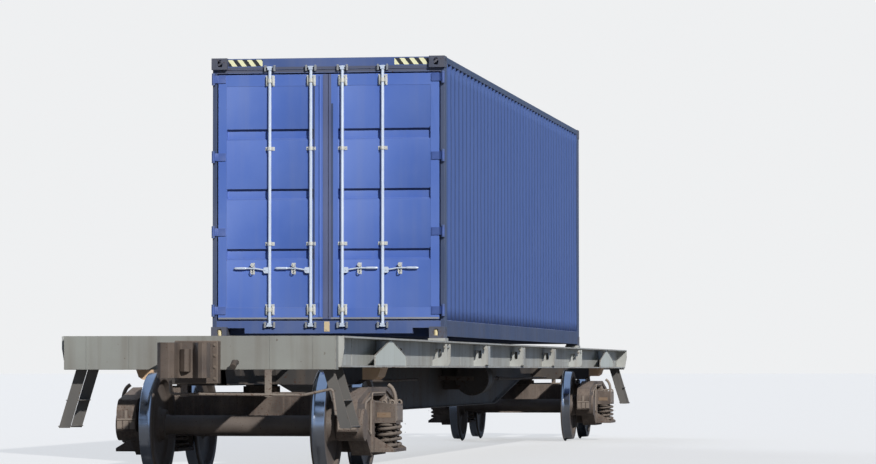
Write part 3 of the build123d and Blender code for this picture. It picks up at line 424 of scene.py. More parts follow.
levers, lever_x = [], 12.3
lever_line = [(-0.24, 0.915), (-0.24, 0.8), (0.93, 0.79), (1.18, 0.845), (1.21, 0.62)]
for end in (-1, 1):
    x = end * lever_x
    levers.append(bent_bar([(x, end * y, z) for y, z in lever_line], 0.0125))
    for y in (-0.12, 0.62):
        width = end * (y - 0.03), end * (y + 0.03)
        levers.append(slab(width, (1.008, 0.775), x - 0.004, 0.008, "x"))
        levers.append(slab(width, (1.0, 1.008), min(x, end * 12.2), 0.1, "x"))
lever_steel = finish("lever_steel", (0.16, 0.13, 0.11), (0.22, 0.19, 0.16), (0.25, 0.21, 0.17),
                     (0.09, 0.045, 0.028), (0.9, 0.4, 0.2, 0.6, 0.5), 2.5, bump=0.0006)
built("uncoupling_levers", levers, "car", "underframe_dark", lever_steel)

# Lock heads on the corner stops, turned steel in pale yellow paint, seen in the holes of the
# container's bottom castings.


def circle(a, b, radius, count, start=0.0):
    """So many (a, b) points round a circle."""
    turn = np.linspace(0, 2 * np.pi, count, endpoint=False) + start
    return list(zip(a + radius * np.cos(turn), b + radius * np.sin(turn)))


head_paint = finish("lock_head_paint", (0.78, 0.66, 0.36), (0.84, 0.74, 0.48), (0.45, 0.38, 0.26),
                    plain_rust, (0.8, 0.2, 0.2, 0.3, 0.5))
heads = [plate(circle(x, y, 0.031, 32), 1.3585, 0.061, "z")
         for x in (-6.046, 6.046) for y in (-1.1295, 1.1295)]
built("lock_heads", heads, "car", "frame_paint", head_paint)

# Brake gear under the frame: air reservoir, cylinder, brackets and train pipe.
for node in ("air_reservoir", "brake_cylinder", "brake_brackets", "train_pipe"):
    rounded_copy(node, "car", "underframe_dark", dark_frame, dark_edge, 0.003, 2, 50)

# Brake rigging: a lever at the cylinder and pull rods in guides towards both bogies, round bar with
# a turnbuckle each, all under brake dust, and the straps and cover bolts of reservoir and cylinder.
rigging = []
for x0, x1, y, z in ((1.5, 7.7, -0.56, 0.9), (0.35, 7.7, 0.36, 0.92),
                     (-7.7, 0.35, 0.36, 0.92), (-7.7, -2.7, -0.4, 0.9)):
    rigging.append(bent_bar([(x0, y, z), ((x0 + x1) / 2, y, z - 0.012), (x1, y, z)], 0.014))
    rigging.append(bent_bar([(x0 + reach, y, z) for reach in (1.2, 1.35, 1.5)], 0.026))
lever = [(-0.6, 0.875), (0.42, 0.895), (0.42, 0.945), (-0.6, 0.925)]
rigging += [plate(lever, x - 0.012, 0.024, "x") for x in (0.35, 1.5)]
built("brake_rigging", rigging, "car", "underframe_dark", dark_edge)
tank_y, cylinder_y, gear_z = 0.56, -0.56, 0.9
straps = [plate(circle(y, gear_z, radius, 48), x - 0.03, 0.06, "x")
          for x, y, radius in ((-2.38, tank_y, 0.1515), (-1.72, tank_y, 0.1515),
                               (0.7, cylinder_y, 0.1795), (1.05, cylinder_y, 0.1795))]
rim = [(0.479, y, z) for y, z in circle(cylinder_y, gear_z, 0.186, 12)]
straps.append(bolts(rim, (-1, 0, 0), 0.014, 0.01))
built("brake_straps_and_bolts", straps, "car", "underframe_dark", dark_edge)

# Corner steps, welded from flat bar, worn bare and brown by boots.
step_brown = finish("step_steel", (0.07, 0.068, 0.065), (0.105, 0.1, 0.094), (0.16, 0.15, 0.138),
                    (0.08, 0.05, 0.036), (0.9, 0.5, 0.4, 0.35, 0.58))
rounded_copy("corner_steps", "car", "underframe_dark", step_brown, cast_edge, 0.0012)

# Bogies. Each is a bolster on two cast side frames with wedges, springs, axle boxes and brake beams.
cast_brown = finish("bogie_cast_brown", (0.07, 0.055, 0.047), (0.14, 0.115, 0.098), (0.25, 0.2, 0.168),
                    (0.095, 0.048, 0.032), (1.0, 0.55, 0.4, 0.6, 0.68), 3.2, bump=0.0022)
cast_worn = finish("bogie_cast_edges", (0.19, 0.155, 0.13), (0.25, 0.21, 0.178), (0.31, 0.265, 0.225),
                   (0.1, 0.055, 0.035), (0.9, 0.6, 0.2, 0.3, 0.6), 2.2, bump=0.0016)
bogies = {"front": -bogie_x, "rear": bogie_x}
for end in bogies:
    for part, *edges in (("side_frames", 0.012, 3), ("bolster", 0.012, 3), ("wedges", 0.004),
                         ("brake_beams", 0.003), ("axle_boxes", 0.008, 2, 50)):
        rounded_copy(f"{end}_bogie_{part}", end + "_bogie", "bogie_cast", cast_brown, cast_worn, *edges)

# Cast detail on the bogies: ribs that edge each side frame and its windows, axle box covers held by
# bolts round a turned step, and wear plates, eyelets and bent horns on the bolster ends.
X, Y, Z = np.eye(3)[:, None]
frame_y, axle_reach, axle_height = 1.018, 0.925, 0.5065


def rib(corners, y, radius, bend):
    """A half-round rib on a casting's face: a round bar along a closed outline of (x, z) corners with
    rounded bends, whose ring of points closes on itself."""
    corners = [(x, y, z) for x, z in corners]
    line = eased(corners[-1:] + corners + corners[:1], bend)[1:-1]
    along = unit(np.roll(line, -1, 0) - np.roll(line, 1, 0))
    points = wire(line, Y, np.cross(along, Y), radius, 8)[0]
    return points, strip_faces(len(line), 8, True), []


def eyelet(x, y, z):
    """A ring of round bar that stands across the car: a circle of points about (x, y, z)."""
    radius, bar = 0.021, 0.01
    outward = np.array([(0, b, c) for b, c in circle(0, 0, 1, 24)])
    points = wire(np.array([x, y, z]) + radius * outward, X, outward, bar, 8)[0]
    return points, strip_faces(len(outward), 8, True), []


def turned(profile, x, side, around, ring=False):
    """A cover, axle end or wheel turned on a lathe: each (distance outward, radius) of the profile is
    carried round the axle line at x. Its outer end gets a face, or its last row joins the first."""
    reach, radius = np.array(profile, float).T[:, :, None]
    turn = np.linspace(0, 2 * np.pi, around, endpoint=False)
    places = x + radius * np.cos(turn), side * reach, axle_height + radius * np.sin(turn)
    squares = strip_faces(len(profile), around, ring)[:, ::-side]
    last = np.arange(around)[::side] + around * (len(profile) - 1)
    return np.stack(np.broadcast_arrays(*places), -1).reshape(-1, 3), squares, [] if ring else [last]


strip_rust = finish("rusty_strips", (0.17, 0.11, 0.07), (0.24, 0.17, 0.11), (0.26, 0.21, 0.16),
                    (0.16, 0.07, 0.03), (0.9, 0.4, 0.3, 0.5, 0.6), 2.5, bump=0.001)
window = [(0.42, 0.4), (0.42, 0.756), (0.735, 0.7), (0.703, 0.5)]
middle = [(-0.36, 0.3), (-0.36, 0.79), (0.36, 0.79), (0.36, 0.3)]
cover = [(1.118, 0.138), (1.132, 0.136), (1.133, 0.112), (1.1405, 0.108), (1.141, 0.052), (1.1425, 0.048)]
pads = [(0.936, 0.984, 0.468, 0.546), (0.996, 1.044, 0.468, 0.546),
        (1.056, 1.102, 0.468, 0.546), (1.006, 1.03, 0.565, 0.64)]
horn = [(1.292, 0.66), (1.292, 0.77), (1.262, 0.84), (1.225, 0.868)]
for end, x in bogies.items():
    cast, strips = [], []
    for side in (-1, 1):
        aside = (0, side, 0)
        for face in (-1, 1):
            y = side * frame_y + face * 0.09
            cast += [rib([(x + way * a, b) for a, b in window], y, 0.011, 0.05) for way in (-1, 1)]
            cast.append(rib([(x + a, b) for a, b in middle], y, 0.01, 0.03))
        for way in (-1, 1):
            axle, face = x + way * axle_reach, x + way * 1.183
            step = [(a, side * 1.1325, b) for a, b in circle(axle, axle_height, 0.124, 8, 0.39)]
            cast += [turned(cover, axle, side, 40), bolts(step, aside, 0.013, 0.009),
                     bolts([(x + way * 0.3, side * 1.31, z) for z in (0.42, 0.5)], aside, 0.01, 0.003)]
            for near, far, low, high in pads:
                width = sorted((side * near, side * far))
                cast.append(slab(width, (low, high), min(face, face + way * 0.008), 0.008, "x"))
            cast.append(bent_bar([(face, side * y, 0.556) for y in (0.934, frame_y, 1.102)], 0.009))
            start = min(x + way * 0.215, x + way * 0.219)
            strips.append(slab(sorted((side * 1.13, side * 1.26)), (0.566, 0.612), start, 0.004, "x"))
        for dx in (-0.13, 0.13):
            cast.append(bolts([(x + dx, side * 1.302, z) for z in (0.56, 0.64)], aside, 0.026, 0.01))
        start = 1.302 if side > 0 else -1.308
        cast.append(slab((x - 0.18, x + 0.18), (0.535, 0.672), start, 0.006, "y"))
        cast.append(bent_bar([(x - 0.15, side * y, z) for y, z in horn], 0.018, 12, 0.05))
        cast += [eyelet(x + way * 0.205, side * y, 0.702) for way in (-1, 1) for y in (1.195, 1.27)]
    built(end + "_bogie_cast_detail", cast, end + "_bogie", "bogie_cast", cast_worn, 45)
    built(end + "_bogie_wear_strips", strips, end + "_bogie", "bogie_cast", strip_rust)

# Springs. Seven double nests a side, hot-wound round bar with ground ends; the inner coil runs the
# other way. Dusty brown, darker where the coils shade each other.
spring_low, spring_high = 0.28, 0.515
nest = [(-0.1125, -0.195), (0.1125, -0.195), (-0.225, 0), (0, 0), (0.225, 0),
        (-0.1125, 0.195), (0.1125, 0.195)]
outer_coil, inner_coil = (0.083, 0.0155, 4.6, 1), (0.048, 0.0095, 7.0, -1)


def coil(x, y, radius, bar, turns, hand):
    """A compression spring about (x, y): a helix of so many turns, 18 points each, whose rise is eased
    over its end turns, so that they lie flat on the seats."""
    t = np.linspace(0, 1, int(turns * 18))
    angle = hand * 2 * np.pi * turns * t
    flat = 0.8 / turns
    ease = np.clip((t - flat / 2) / (1 - flat), 0, 1)
    rise = spring_low + bar + (spring_high - spring_low - 2 * bar) * ease
    outward = np.stack([np.cos(angle), np.sin(angle), 0 * t], -1)
    return wire(np.array([x, y, 0]) + radius * outward + rise[:, None] * Z, outward, Z, bar, 10)


spring_dusty = finish("spring_dusty_steel", (0.105, 0.085, 0.072), (0.16, 0.135, 0.116), (0.23, 0.195, 0.165),
                      (0.08, 0.042, 0.028), (0.8, 0.5, 0.1, 0.5, 0.62), 3.0)
for end, x in bogies.items():
    coils = [coil(x + dx, side * (frame_y + dy), *bar)
             for side in (-1, 1) for dx, dy in nest for bar in (outer_coil, inner_coil)]
    piece(end + "_coil_springs", mesh_of("coils", coils, 60), end + "_bogie", "spring_steel", spring_dusty,
          nodes=(end + "_bogie_springs",))

# Wheelsets. Forged wheels with a coned tread, a rounded flange and a dished web, pressed on an axle
# that steps down to its journals. The tread is rolled bright by the rail and mirrors the sky, and its
# metal colour is tinted blue as a painted reflection of the sky; the rest is brown.
wheel_back, around_wheel, first_tread_row, last_tread_row = 0.72, 96, 15, 20
wheel_profile = np.array([
    (-0.025, 0.097), (-0.025, 0.13), (-0.02, 0.135), (0.02, 0.142), (0.04, 0.165), (0.057, 0.26),
    (0.06, 0.36), (0.048, 0.392), (0.012, 0.408), (0.002, 0.414), (0, 0.424), (0, 0.484), (0.003, 0.494),
    (0.009, 0.502), (0.016, 0.5062), (0.0205, 0.5015), (0.026, 0.492), (0.033, 0.483), (0.04, 0.48),
    (0.06, 0.479), (0.126, 0.4755), (0.13, 0.471), (0.13, 0.412), (0.122, 0.408), (0.096, 0.398),
    (0.088, 0.372), (0.085, 0.3), (0.07, 0.175), (0.09, 0.15), (0.158, 0.137), (0.165, 0.13),
    (0.165, 0.097),
]) + (wheel_back, 0)
axle_profile = [(0, 0.0855), (0.66, 0.0855), (0.69, 0.092), (0.698, 0.0965), (0.884, 0.0965),
                (0.886, 0.09), (0.92, 0.074), (0.935, 0.0645), (1.116, 0.0645), (1.1195, 0.061)]
wheel_brown = finish("wheel_steel", (0.09, 0.073, 0.063), (0.135, 0.112, 0.097), (0.2, 0.165, 0.14),
                     (0.08, 0.042, 0.028), (0.9, 0.35, 0.1, 0.45, 0.55), 2.5, 0.1, 0.001)
tread_bright = finish("tread_steel", (0.33, 0.36, 0.42), (0.25, 0.26, 0.28), (0.12, 0.1, 0.085),
                      (0.1, 0.06, 0.04), (0.4, 0.05, 0.0, 0.1, 0.13), 2.5, 0.95, 0.0001)
axles = [x + way * axle_reach for x in bogies.values() for way in (-1, 1)]
for x, number in zip(axles, "1234"):
    pair = mesh_of("wheels", [turned(wheel_profile, x, side, around_wheel, True) for side in (-1, 1)], 30)
    piece("wheel_pair_" + number, pair, "wheelset_" + number, "wheel_steel", wheel_brown, tread_bright,
          nodes=("wheels_" + number,))
    row = np.arange(len(pair.polygons)) // around_wheel % len(wheel_profile)
    tread = (row >= first_tread_row) & (row <= last_tread_row)
    pair.polygons.foreach_set("material_index", tread.astype(np.int32))
    shaft = mesh_of("axle", [turned(axle_profile, x, side, 48) for side in (-1, 1)], 30)
    piece("axle_shaft_" + number, shaft, "wheelset_" + number, "wheel_steel", wheel_brown,
          nodes=("axle_" + number,))

# Container frame: corner castings, posts, top and bottom rails, end rails, door header and sill.
# Welded steel in faded blue paint, with rust on its edges and on the castings.
faded_blue = finish("container_blue_paint", (0.046, 0.088, 0.25), (0.07, 0.115, 0.29), (0.16, 0.18, 0.25),
                    (0.08, 0.04, 0.03), (0.9, 0.2, 0.2, 0.18, 0.5))
blue_edge = finish("container_blue_edges", (0.075, 0.11, 0.23), (0.11, 0.145, 0.27), (0.2, 0.21, 0.26),
                   (0.085, 0.045, 0.033), (0.8, 0.3, 0.2, 0.5, 0.52))
rail_blue = finish("bottom_rail_paint", (0.023, 0.044, 0.115), (0.044, 0.066, 0.145), (0.11, 0.115, 0.135),
                   (0.07, 0.038, 0.028), (0.9, 0.4, 0.5, 0.42, 0.55))
casting_paint = finish("casting_paint", (0.052, 0.062, 0.095), (0.075, 0.082, 0.115), (0.14, 0.13, 0.13),
                       (0.075, 0.045, 0.035), (0.8, 0.35, 0.2, 0.45, 0.55), 2.0, bump=0.0014)
post_blue = finish("post_blue_paint", (0.028, 0.047, 0.105), (0.045, 0.066, 0.135), (0.12, 0.13, 0.165),
                   (0.08, 0.042, 0.03), (0.9, 0.25, 0.3, 0.25, 0.5))
rounded_copy("corner_castings", "car", "casting", casting_paint, blue_edge, 0.004)
rounded_copy("bottom_rails", "car", "container_blue", rail_blue, blue_edge, 0.0015)
for node in ("corner_posts", "top_rails"):
    rounded_copy(node, "car", "container_blue", post_blue, blue_edge, 0.002)
for node, slot in (("front_end_rails", "container_blue"), ("door_sill", "door_blue"),
                   ("floor_beams", "container_blue")):
    rounded_copy(node, "car", slot, faded_blue, blue_edge, 0.002)

# Door header, with a black and yellow slanted band at both ends, and a gutter lip along its foot.
header = rounded_copy("door_header", "car", "casting", faded_blue, blue_edge, 0.002)
hazard, given, result = effect("hazard_bands", ("Paint", "Grime", "Light", "Dark"))
_, across, above = axes(hazard, "Object")
front = calc("LESS_THAN", axes(hazard, "Normal")[0], -0.5)
grimy = times(front, span(above, 4.14, 4.128), 0.75)
grimy = tint(grimy, given["Paint"], given["Grime"])
for value, low, high in ((calc("ABSOLUTE", across), 0.69, 1.052), (above, 4.143, 4.211)):
    front = times(front, calc("GREATER_THAN", value, low), calc("LESS_THAN", value, high))
slant = calc("SUBTRACT", across, times(above, 0.75))
light = calc("GREATER_THAN", calc("FRACT", calc("DIVIDE", slant, 0.1)), 0.48)
stripes = tint(light, given["Dark"], given["Light"])
hazard.links.new(tint(front, grimy, stripes), result["Color"])
header.data.materials[0] = overlaid("header_paint", faded_blue, hazard, {
    "Light": (0.8, 0.8, 0.52), "Dark": (0.012, 0.012, 0.014), "Grime": (0.075, 0.075, 0.085)})
gutter = [slab((-6.053, -6.0445), lip, -1.056, 2.112, "y") for lip in ((4.0685, 4.0765), (4.1055, 4.1085))]
built("header_gutter", gutter, "car", "casting", blue_edge)

# A blank cream plate with two bolts at the middle of the door sill.
cream = finish("cream_plate", (0.62, 0.5, 0.3), (0.68, 0.57, 0.38), (0.35, 0.3, 0.24), plain_rust,
               (0.8, 0.3, 0.3, 0.4, 0.5))
doorwards = (-1, 0, 0)
sill_plate = [slab((-0.015, 0.041), (1.4, 1.503), -6.0485, 0.0045, "x"),
              bolts([(-6.0485, 0.013, z) for z in (1.42, 1.483)], doorwards, 0.011, 0.008)]
built("door_sill_plate", sill_plate, "car", "door_blue", cream)

# Container floor, sealed plywood sheets with dark joints across the floor and down its middle.
boards = finish("plywood_floor", (0.2, 0.12, 0.065), (0.29, 0.19, 0.11), (0.3, 0.25, 0.2), plain_rust,
                (0.9, 0.4, 0.0, 0.0, 0.55))
joints, given, result = effect("sheet_joints", ("Wood", "Joint"))
along, across, _ = axes(joints, "Object")
along = calc("LESS_THAN", calc("FRACT", calc("DIVIDE", along, 1.22)), 0.005)
across = calc("LESS_THAN", calc("ABSOLUTE", across), 0.003)
seam = calc("MAXIMUM", along, across)
joints.links.new(tint(seam, given["Wood"], given["Joint"]), result["Color"])
jointed = overlaid("plywood_sheets", boards, joints, {"Joint": (0.03, 0.022, 0.016)})
rounded_copy("container_floor", "car", "plywood", jointed, jointed, 0.002)

# Container walls and roof. Two-millimetre sheet pressed into trapezoid corrugations with rounded
# bends, a little dented by use, welded to the rails and posts all round; two short bars close the
# end wall's foot beside the posts and flat strips close the roof's ends.
dent_seed = np.random.default_rng(7)


def folds(start, end, pitch, crest, slope, depth, bend):
    """The profile of a corrugated sheet as (distance, depth): crests at depth 0 and troughs at the full
    depth, joined by slopes, with rounded bends."""
    count = int((end - start) // pitch)
    first = (start + end - count * pitch) / 2 + pitch * np.arange(count)[:, None]
    bends = first + np.array([crest / 2, crest / 2 + slope, pitch - crest / 2 - slope, pitch - crest / 2])
    line = np.stack([bends, np.broadcast_to([0, depth, depth, 0], bends.shape)], -1).reshape(-1, 2)
    return eased(np.concatenate([[(start, 0)], line, [(end, 0)]]), bend, 5)


def pressed(line, low, high, place, flip, dents, rows=21):
    """A sheet that carries a profile from low to high in rows. Shallow dents deepen it by the sum of
    d exp(-((a - a0)^2 + (b - b0)^2) / r^2), and fade out to nothing at the sheet's edges."""
    a, b = np.meshgrid(line[:, 0], np.linspace(low, high, rows))
    a0, b0 = dent_seed.uniform(line[0, 0], line[-1, 0], dents), dent_seed.uniform(low, high, dents)
    r, d = dent_seed.uniform(0.1, 0.42, dents), dent_seed.uniform(0.0015, 0.006, dents)
    spread = (a[..., None] - a0) ** 2 + (b[..., None] - b0) ** 2
    edge = np.clip(np.minimum(b - low, high - b) / 0.15, 0, 1)
    depth = line[:, 1] + edge * (d * np.exp(-spread / r ** 2)).sum(-1)
    points = np.stack(np.broadcast_arrays(*place(a, b, depth)), -1).reshape(-1, 3)
    faces = strip_faces(rows, len(line), False, False)
    return points, faces[:, ::-1] if flip else faces, []


def sheet(node, surface, paint):
    """A piece of sheet metal: the surface given 2 mm of thickness on its inner side."""
    made = piece(node + "_sheet", mesh_of(node, [surface], 50), "car", "container_blue", paint, nodes=(node,))
    thick = made.modifiers.new("sheet", "SOLIDIFY")
    thick.thickness = 0.002
    thick.offset = -1


wall_blue = finish("wall_blue_paint", (0.024, 0.058, 0.205), (0.034, 0.073, 0.24), (0.12, 0.15, 0.23),
                   (0.08, 0.04, 0.03), (0.8, 0.15, 0.16, 0.1, 0.5), bump=0.0005)
roof_blue = finish("roof_blue_paint", (0.06, 0.1, 0.26), (0.1, 0.14, 0.3), (0.24, 0.235, 0.235),
                   (0.1, 0.05, 0.035), (0.9, 0.55, 0.1, 0.35, 0.6))
# The side walls' corrugation slopes, which face along the car, are painted a lighter blue: a painted
# highlight of the light they catch.
slopes, given, result = effect("pale_slopes", ("Paint", "Lit slope"))
along, across = (calc("ABSOLUTE", value) for value in axes(slopes, "Normal")[:2])
sloping = times(along, calc("GREATER_THAN", across, 0.5))
sloping = times(span(sloping, 0.2, 0.42), 0.7)
slopes.links.new(tint(sloping, given["Paint"], given["Lit slope"]), result["Color"])
wall_lit_slopes = overlaid("wall_blue_lit_slopes", wall_blue, slopes, {"Lit slope": (0.078, 0.133, 0.345)})
side_fold = folds(-5.918, 5.918, 0.278, 0.072, 0.068, 0.036, 0.011)
end_fold = folds(-1.17, 1.17, 0.25, 0.1, 0.02, 0.045, 0.009)
roof_fold = folds(-5.918, 5.918, 0.209, 0.09, 0.013, 0.02, 0.006)
seams = []
for side, node in ((-1, "right_side_wall"), (1, "left_side_wall")):
    wall = pressed(side_fold, 1.512, 4.162, lambda a, b, d: (a, side * (1.211 - d), b), side > 0, 26)
    sheet(node, wall, wall_lit_slopes)
    for z in (1.5145, 4.1595):
        seam = [(a, side * (1.2115 - d), z) for a, d in side_fold]
        seams.append(wire(np.array(seam), Y, Z, 0.003, 6))
sheet("end_wall", pressed(end_fold, 1.512, 4.108, lambda a, b, d: (6.086 - d, a, b), False, 7), wall_blue)
sheet("roof", pressed(roof_fold, -1.154, 1.154, lambda a, b, d: (a, b, 4.2178 - d), False, 20), roof_blue)
strips = [slab(ends, (-1.0585, 1.0585), 4.2142, 0.0032, "z") for ends in ((-5.968, -5.914), (5.914, 6.04))]
built("roof_end_strips", strips, "car", "container_blue", roof_blue)
seams += [slab((side * 1.055, side * 1.171), (1.4965, 1.515), 6.0362, 0.0478, "x") for side in (-1, 1)]
built("wall_welds", seams, "car", "container_blue", blue_edge, 60)

# Doors. Ribbed steel leaves in a brighter blue, with hinge blades, on lugs welded to the posts. A
# rounded bead edges the left door's meeting stile and a dark flat bar the right one's.
door_paint = finish("door_blue_paint", (0.065, 0.138, 0.46), (0.088, 0.168, 0.5), (0.2, 0.24, 0.38),
                    (0.09, 0.042, 0.03), (0.9, 0.14, 0.14, 0.1, 0.45), bump=0.0004)
door_edge = finish("door_blue_edges", (0.085, 0.145, 0.4), (0.12, 0.185, 0.45), (0.22, 0.25, 0.34),
                   (0.1, 0.048, 0.033), (0.8, 0.2, 0.2, 0.4, 0.45))
rounded_copy("hinge_lugs", "car", "door_blue", faded_blue, blue_edge, 0.0015)
# Painted shade on the doors: the faces of the panel grooves that look downwards are darkened where the sun
# would not reach them. The hinge blades that stand proud are a darker blue.
marks, given, result = effect("door_shade_and_blades", ("Paint", "Blade", "Groove shade"))
along = axes(marks, "Object")[0]
ledge = calc("LESS_THAN", axes(marks, "Normal")[2], -0.25)
ledge = times(ledge, calc("GREATER_THAN", along, -6.0435), 0.85)
proud = times(calc("LESS_THAN", along, -6.0455), 0.7)
groove_shaded = tint(ledge, given["Paint"], given["Groove shade"])
marks.links.new(tint(proud, groove_shaded, given["Blade"]), result["Color"])
door_marked = overlaid("door_blue_marked", door_paint, marks,
                       {"Blade": (0.045, 0.08, 0.25), "Groove shade": (0.01, 0.014, 0.05)})
for side in ("left", "right"):
    rounded_copy(side + "_door", side + "_door", "door_blue", door_marked, door_edge, 0.003)
bead = bent_bar([(-6.041, 0.086, z) for z in (1.55, 2.8, 4.035)], 0.014, 16)
stile = slab((-6.0445, -6.0405), (0.1, 0.141), 1.69, 2.235, "z")
# The thin dark bar beside the left door's stile is a painted shadow line, where the stile's edge would shade
# the panel.
shadow_line = bent_bar([(-6.0425, 0.149, z) for z in (1.69, 2.8, 3.925)], 0.0075)
bar = slab((-6.0475, -6.0435), (-0.05, -0.0205), 1.55, 2.2, "z")
for name, part, paint in (("left_door_bead", bead, door_paint), ("left_door_stile", stile, door_paint),
                          ("left_door_seal", shadow_line, rail_blue), ("right_door_bar", bar, rail_blue)):
    built(name, [part], name.rpartition("_")[0], "door_blue", paint)

# Door gaskets: extruded rubber lips, chalky with age where they close the meeting gap.
rubber = finish("dusty_rubber", (0.075, 0.095, 0.2), (0.105, 0.135, 0.27), (0.15, 0.17, 0.27),
                (0.07, 0.06, 0.055), (0.9, 0.4, 0.4, 0.1, 0.7))
for side in ("left", "right"):
    rounded_copy(side + "_door_gasket", side + "_door", "rubber", rubber, rubber, 0.003)
flap = [slab((-6.0492, -6.0482), (0.0045, 0.054), 1.532, 2.518, "z"),
        slab((-6.0482, -6.0441), (0.031, 0.054), 1.532, 2.518, "z")]
built("left_door_flap", flap, "left_door", "rubber", rubber)

# Foot strips: pale galvanised angle along the bottom edge of both doors, over the lower gasket.
foot_zinc = finish("foot_strip_zinc", (0.22, 0.235, 0.26), (0.3, 0.31, 0.33), (0.22, 0.21, 0.2),
                   (0.14, 0.08, 0.055), (0.9, 0.4, 0.3, 0.4, 0.45), metal=0.2)
for side, start, length in (("left", 0.058, 1.094), ("right", -1.152, 1.128)):
    strip = slab((-6.0475, -6.0435), (1.529, 1.546), start, length, "y")
    built(side + "_door_foot_strip", [strip], side + "_door", "galvanised", foot_zinc)

# Lock gear. Each galvanised rod turns in two saddle guides and two bracket bearings, and ends in cams
# that lock into keepers on the header and sill. Its handle is hinged in a hub and rests in a catch.
# The galvanised rods' colour is tinted blue: a painted reflection of the sky.
zinc = finish("galvanised_steel", (0.58, 0.66, 0.78), (0.66, 0.74, 0.85), (0.42, 0.43, 0.45),
              (0.2, 0.12, 0.08), (0.9, 0.12, 0.15, 0.12, 0.3), 3.0, 0.25, 0.0003)
dull_zinc = finish("dull_galvanised", (0.58, 0.59, 0.55), (0.68, 0.69, 0.65), (0.4, 0.38, 0.34),
                   (0.18, 0.1, 0.06), (0.9, 0.35, 0.3, 0.4, 0.42), 3.0, 0.2, 0.0006)
keeper_paint = finish("keeper_paint", (0.16, 0.19, 0.24), (0.26, 0.28, 0.3), (0.28, 0.26, 0.24),
                      (0.12, 0.06, 0.04), (0.9, 0.4, 0.3, 0.5, 0.5), 2.0)
rounded_copy("cam_keepers", "car", "galvanised", keeper_paint, dull_zinc, 0.0015)
door_front, panel_front, rod_line = -6.044, -6.041, -6.068
rod_foot, rod_top, handle_z = 1.448, 4.138, 2.032


def saddle(y, z, half, face):
    """A strap over a rod: a hat outline of two ears and two half circles about the rod, so high on both
    sides of z."""
    turn = np.linspace(np.pi, 0, 13)
    outer, inner = (np.stack([rod_line - radius * np.sin(turn), y + radius * np.cos(turn)], -1)
                    for radius in (0.026, 0.0185))
    ear = face - 0.006
    outline = [(face, y - 0.048), (ear, y - 0.048), (ear, y - 0.026), *outer, (ear, y + 0.026),
               (ear, y + 0.048), (face, y + 0.048), (face, y + 0.0185), *inner[::-1], (face, y - 0.0185)]
    return plate(outline, z - half, 2 * half, "z")


def grip(start, end, radius):
    """A handle's grip: a round bar from start to end, drawn in at its ends by sqrt(1 - q^6) with q from
    -1 to 1 along it."""
    start, end = np.array([start, end])
    q = np.linspace(-0.995, 0.995, 15)[:, None]
    swell = np.sqrt(1 - q ** 6)
    return wire((start + end) / 2 + q * (end - start) / 2, X * swell, Z * swell, radius, 16)


cam = [(-0.03, 0.002), (-0.03, 0.013), (-0.021, 0.019), (-0.021, 0.04),
       (0.021, 0.04), (0.021, 0.019), (0.03, 0.013), (0.03, 0.002)]
cheek = [(0.005, -0.052), (0.03, -0.05), (0.04, -0.036), (0.04, 0.036), (0.03, 0.05), (0.005, 0.052)]
hub_plate = [(0.012, -0.03), (0.052, -0.03), (0.063, -0.019), (0.063, 0.021), (0.054, 0.03),
             (0.012, 0.03)]
for name, rods in (("left", (0.609, 0.179)), ("right", (-0.151, -0.571))):
    bright, dull = [], []
    for y in rods:
        bright.append(bent_bar([(rod_line, y, z) for z in (rod_foot, 2.8, rod_top)], 0.017, 24))
        for z, way in ((rod_foot, 1), (rod_top, -1)):
            bright.append(plate([(y + a, z + way * b) for a, b in cam], rod_line - 0.022, 0.038, "x"))
        for z in (2.305, 3.287):
            dull.append(saddle(y, z, 0.018, panel_front))
            ears = [(panel_front - 0.006, y + a, z) for a in (-0.037, 0.037)]
            dull.append(bolts(ears, doorwards, 0.009, 0.007))
        for z in (1.626, 3.989):
            dull.append(saddle(y, z, 0.021, door_front))
            base = door_front - 0.0055
            dull.append(slab((y - 0.047, y + 0.047), (z - 0.055, z + 0.055), base, 0.0055, "x"))
            outline = [(door_front - a, z + b) for a, b in cheek]
            dull += [plate(outline, y + a, 0.006, "y") for a in (-0.034, 0.028)]
            corners = [(base, y + a, z + b) for a in (-0.041, 0.041) for b in (-0.043, 0.043)]
            dull.append(bolts(corners, doorwards, 0.007, 0.006))
        side, z = np.sign(y), handle_z
        hub, rest, bar_z = y + side * 0.042, y + side * 0.18, z + 0.02
        outline = [(y + side * a, z + b) for a, b in hub_plate]
        bright += [plate(outline, rod_line + start, 0.007, "x") for start in (-0.012, 0.005)]
        bar = [(hub, z), (rest - side * 0.03, z + 0.018), (rest, bar_z), (y + side * 0.26, bar_z)]
        near, far = ((rod_line, y + side * reach, bar_z) for reach in (0.235, 0.375))
        bright += [bolts([(rod_line - 0.012, hub, z)], doorwards, 0.012, 0.008),
                   bent_bar([(rod_line, a, b) for a, b in bar], 0.009), grip(near, far, 0.0138)]
        back = panel_front - 0.005
        lobe = [(rest + 0.019 * c, z + 0.054 + 0.021 * s) for c, s in circle(0, 0, 1, 16)]
        dull += [slab((rest - 0.019, rest + 0.019), (z - 0.042, z + 0.076), back, 0.005, "x"),
                 plate(lobe, rod_line - 0.02, 0.0098, "x"), plate(lobe, rod_line - 0.01, 0.03626, "x"),
                 bolts([(rod_line - 0.0205, rest, z + 0.056)], doorwards, 0.009, 0.006)]
        near, far, top, low = rest - 0.015, rest + 0.015, z + 0.004, z - 0.036
        tip = rod_line - 0.014
        catch = [(panel_front, near, top), (tip, near, top), (tip, near, low),
                 (tip, far, low), (tip, far, top), (panel_front, far, top)]
        dull.append(bent_bar(catch, 0.0048, 10, 0.012))
    built(name + "_door_rods_and_handles", bright, name + "_door", "galvanised", zinc,
          nodes=(name + "_door_lock_gear",))
    built(name + "_door_guides_and_catches", dull, name + "_door", "galvanised", dull_zinc)

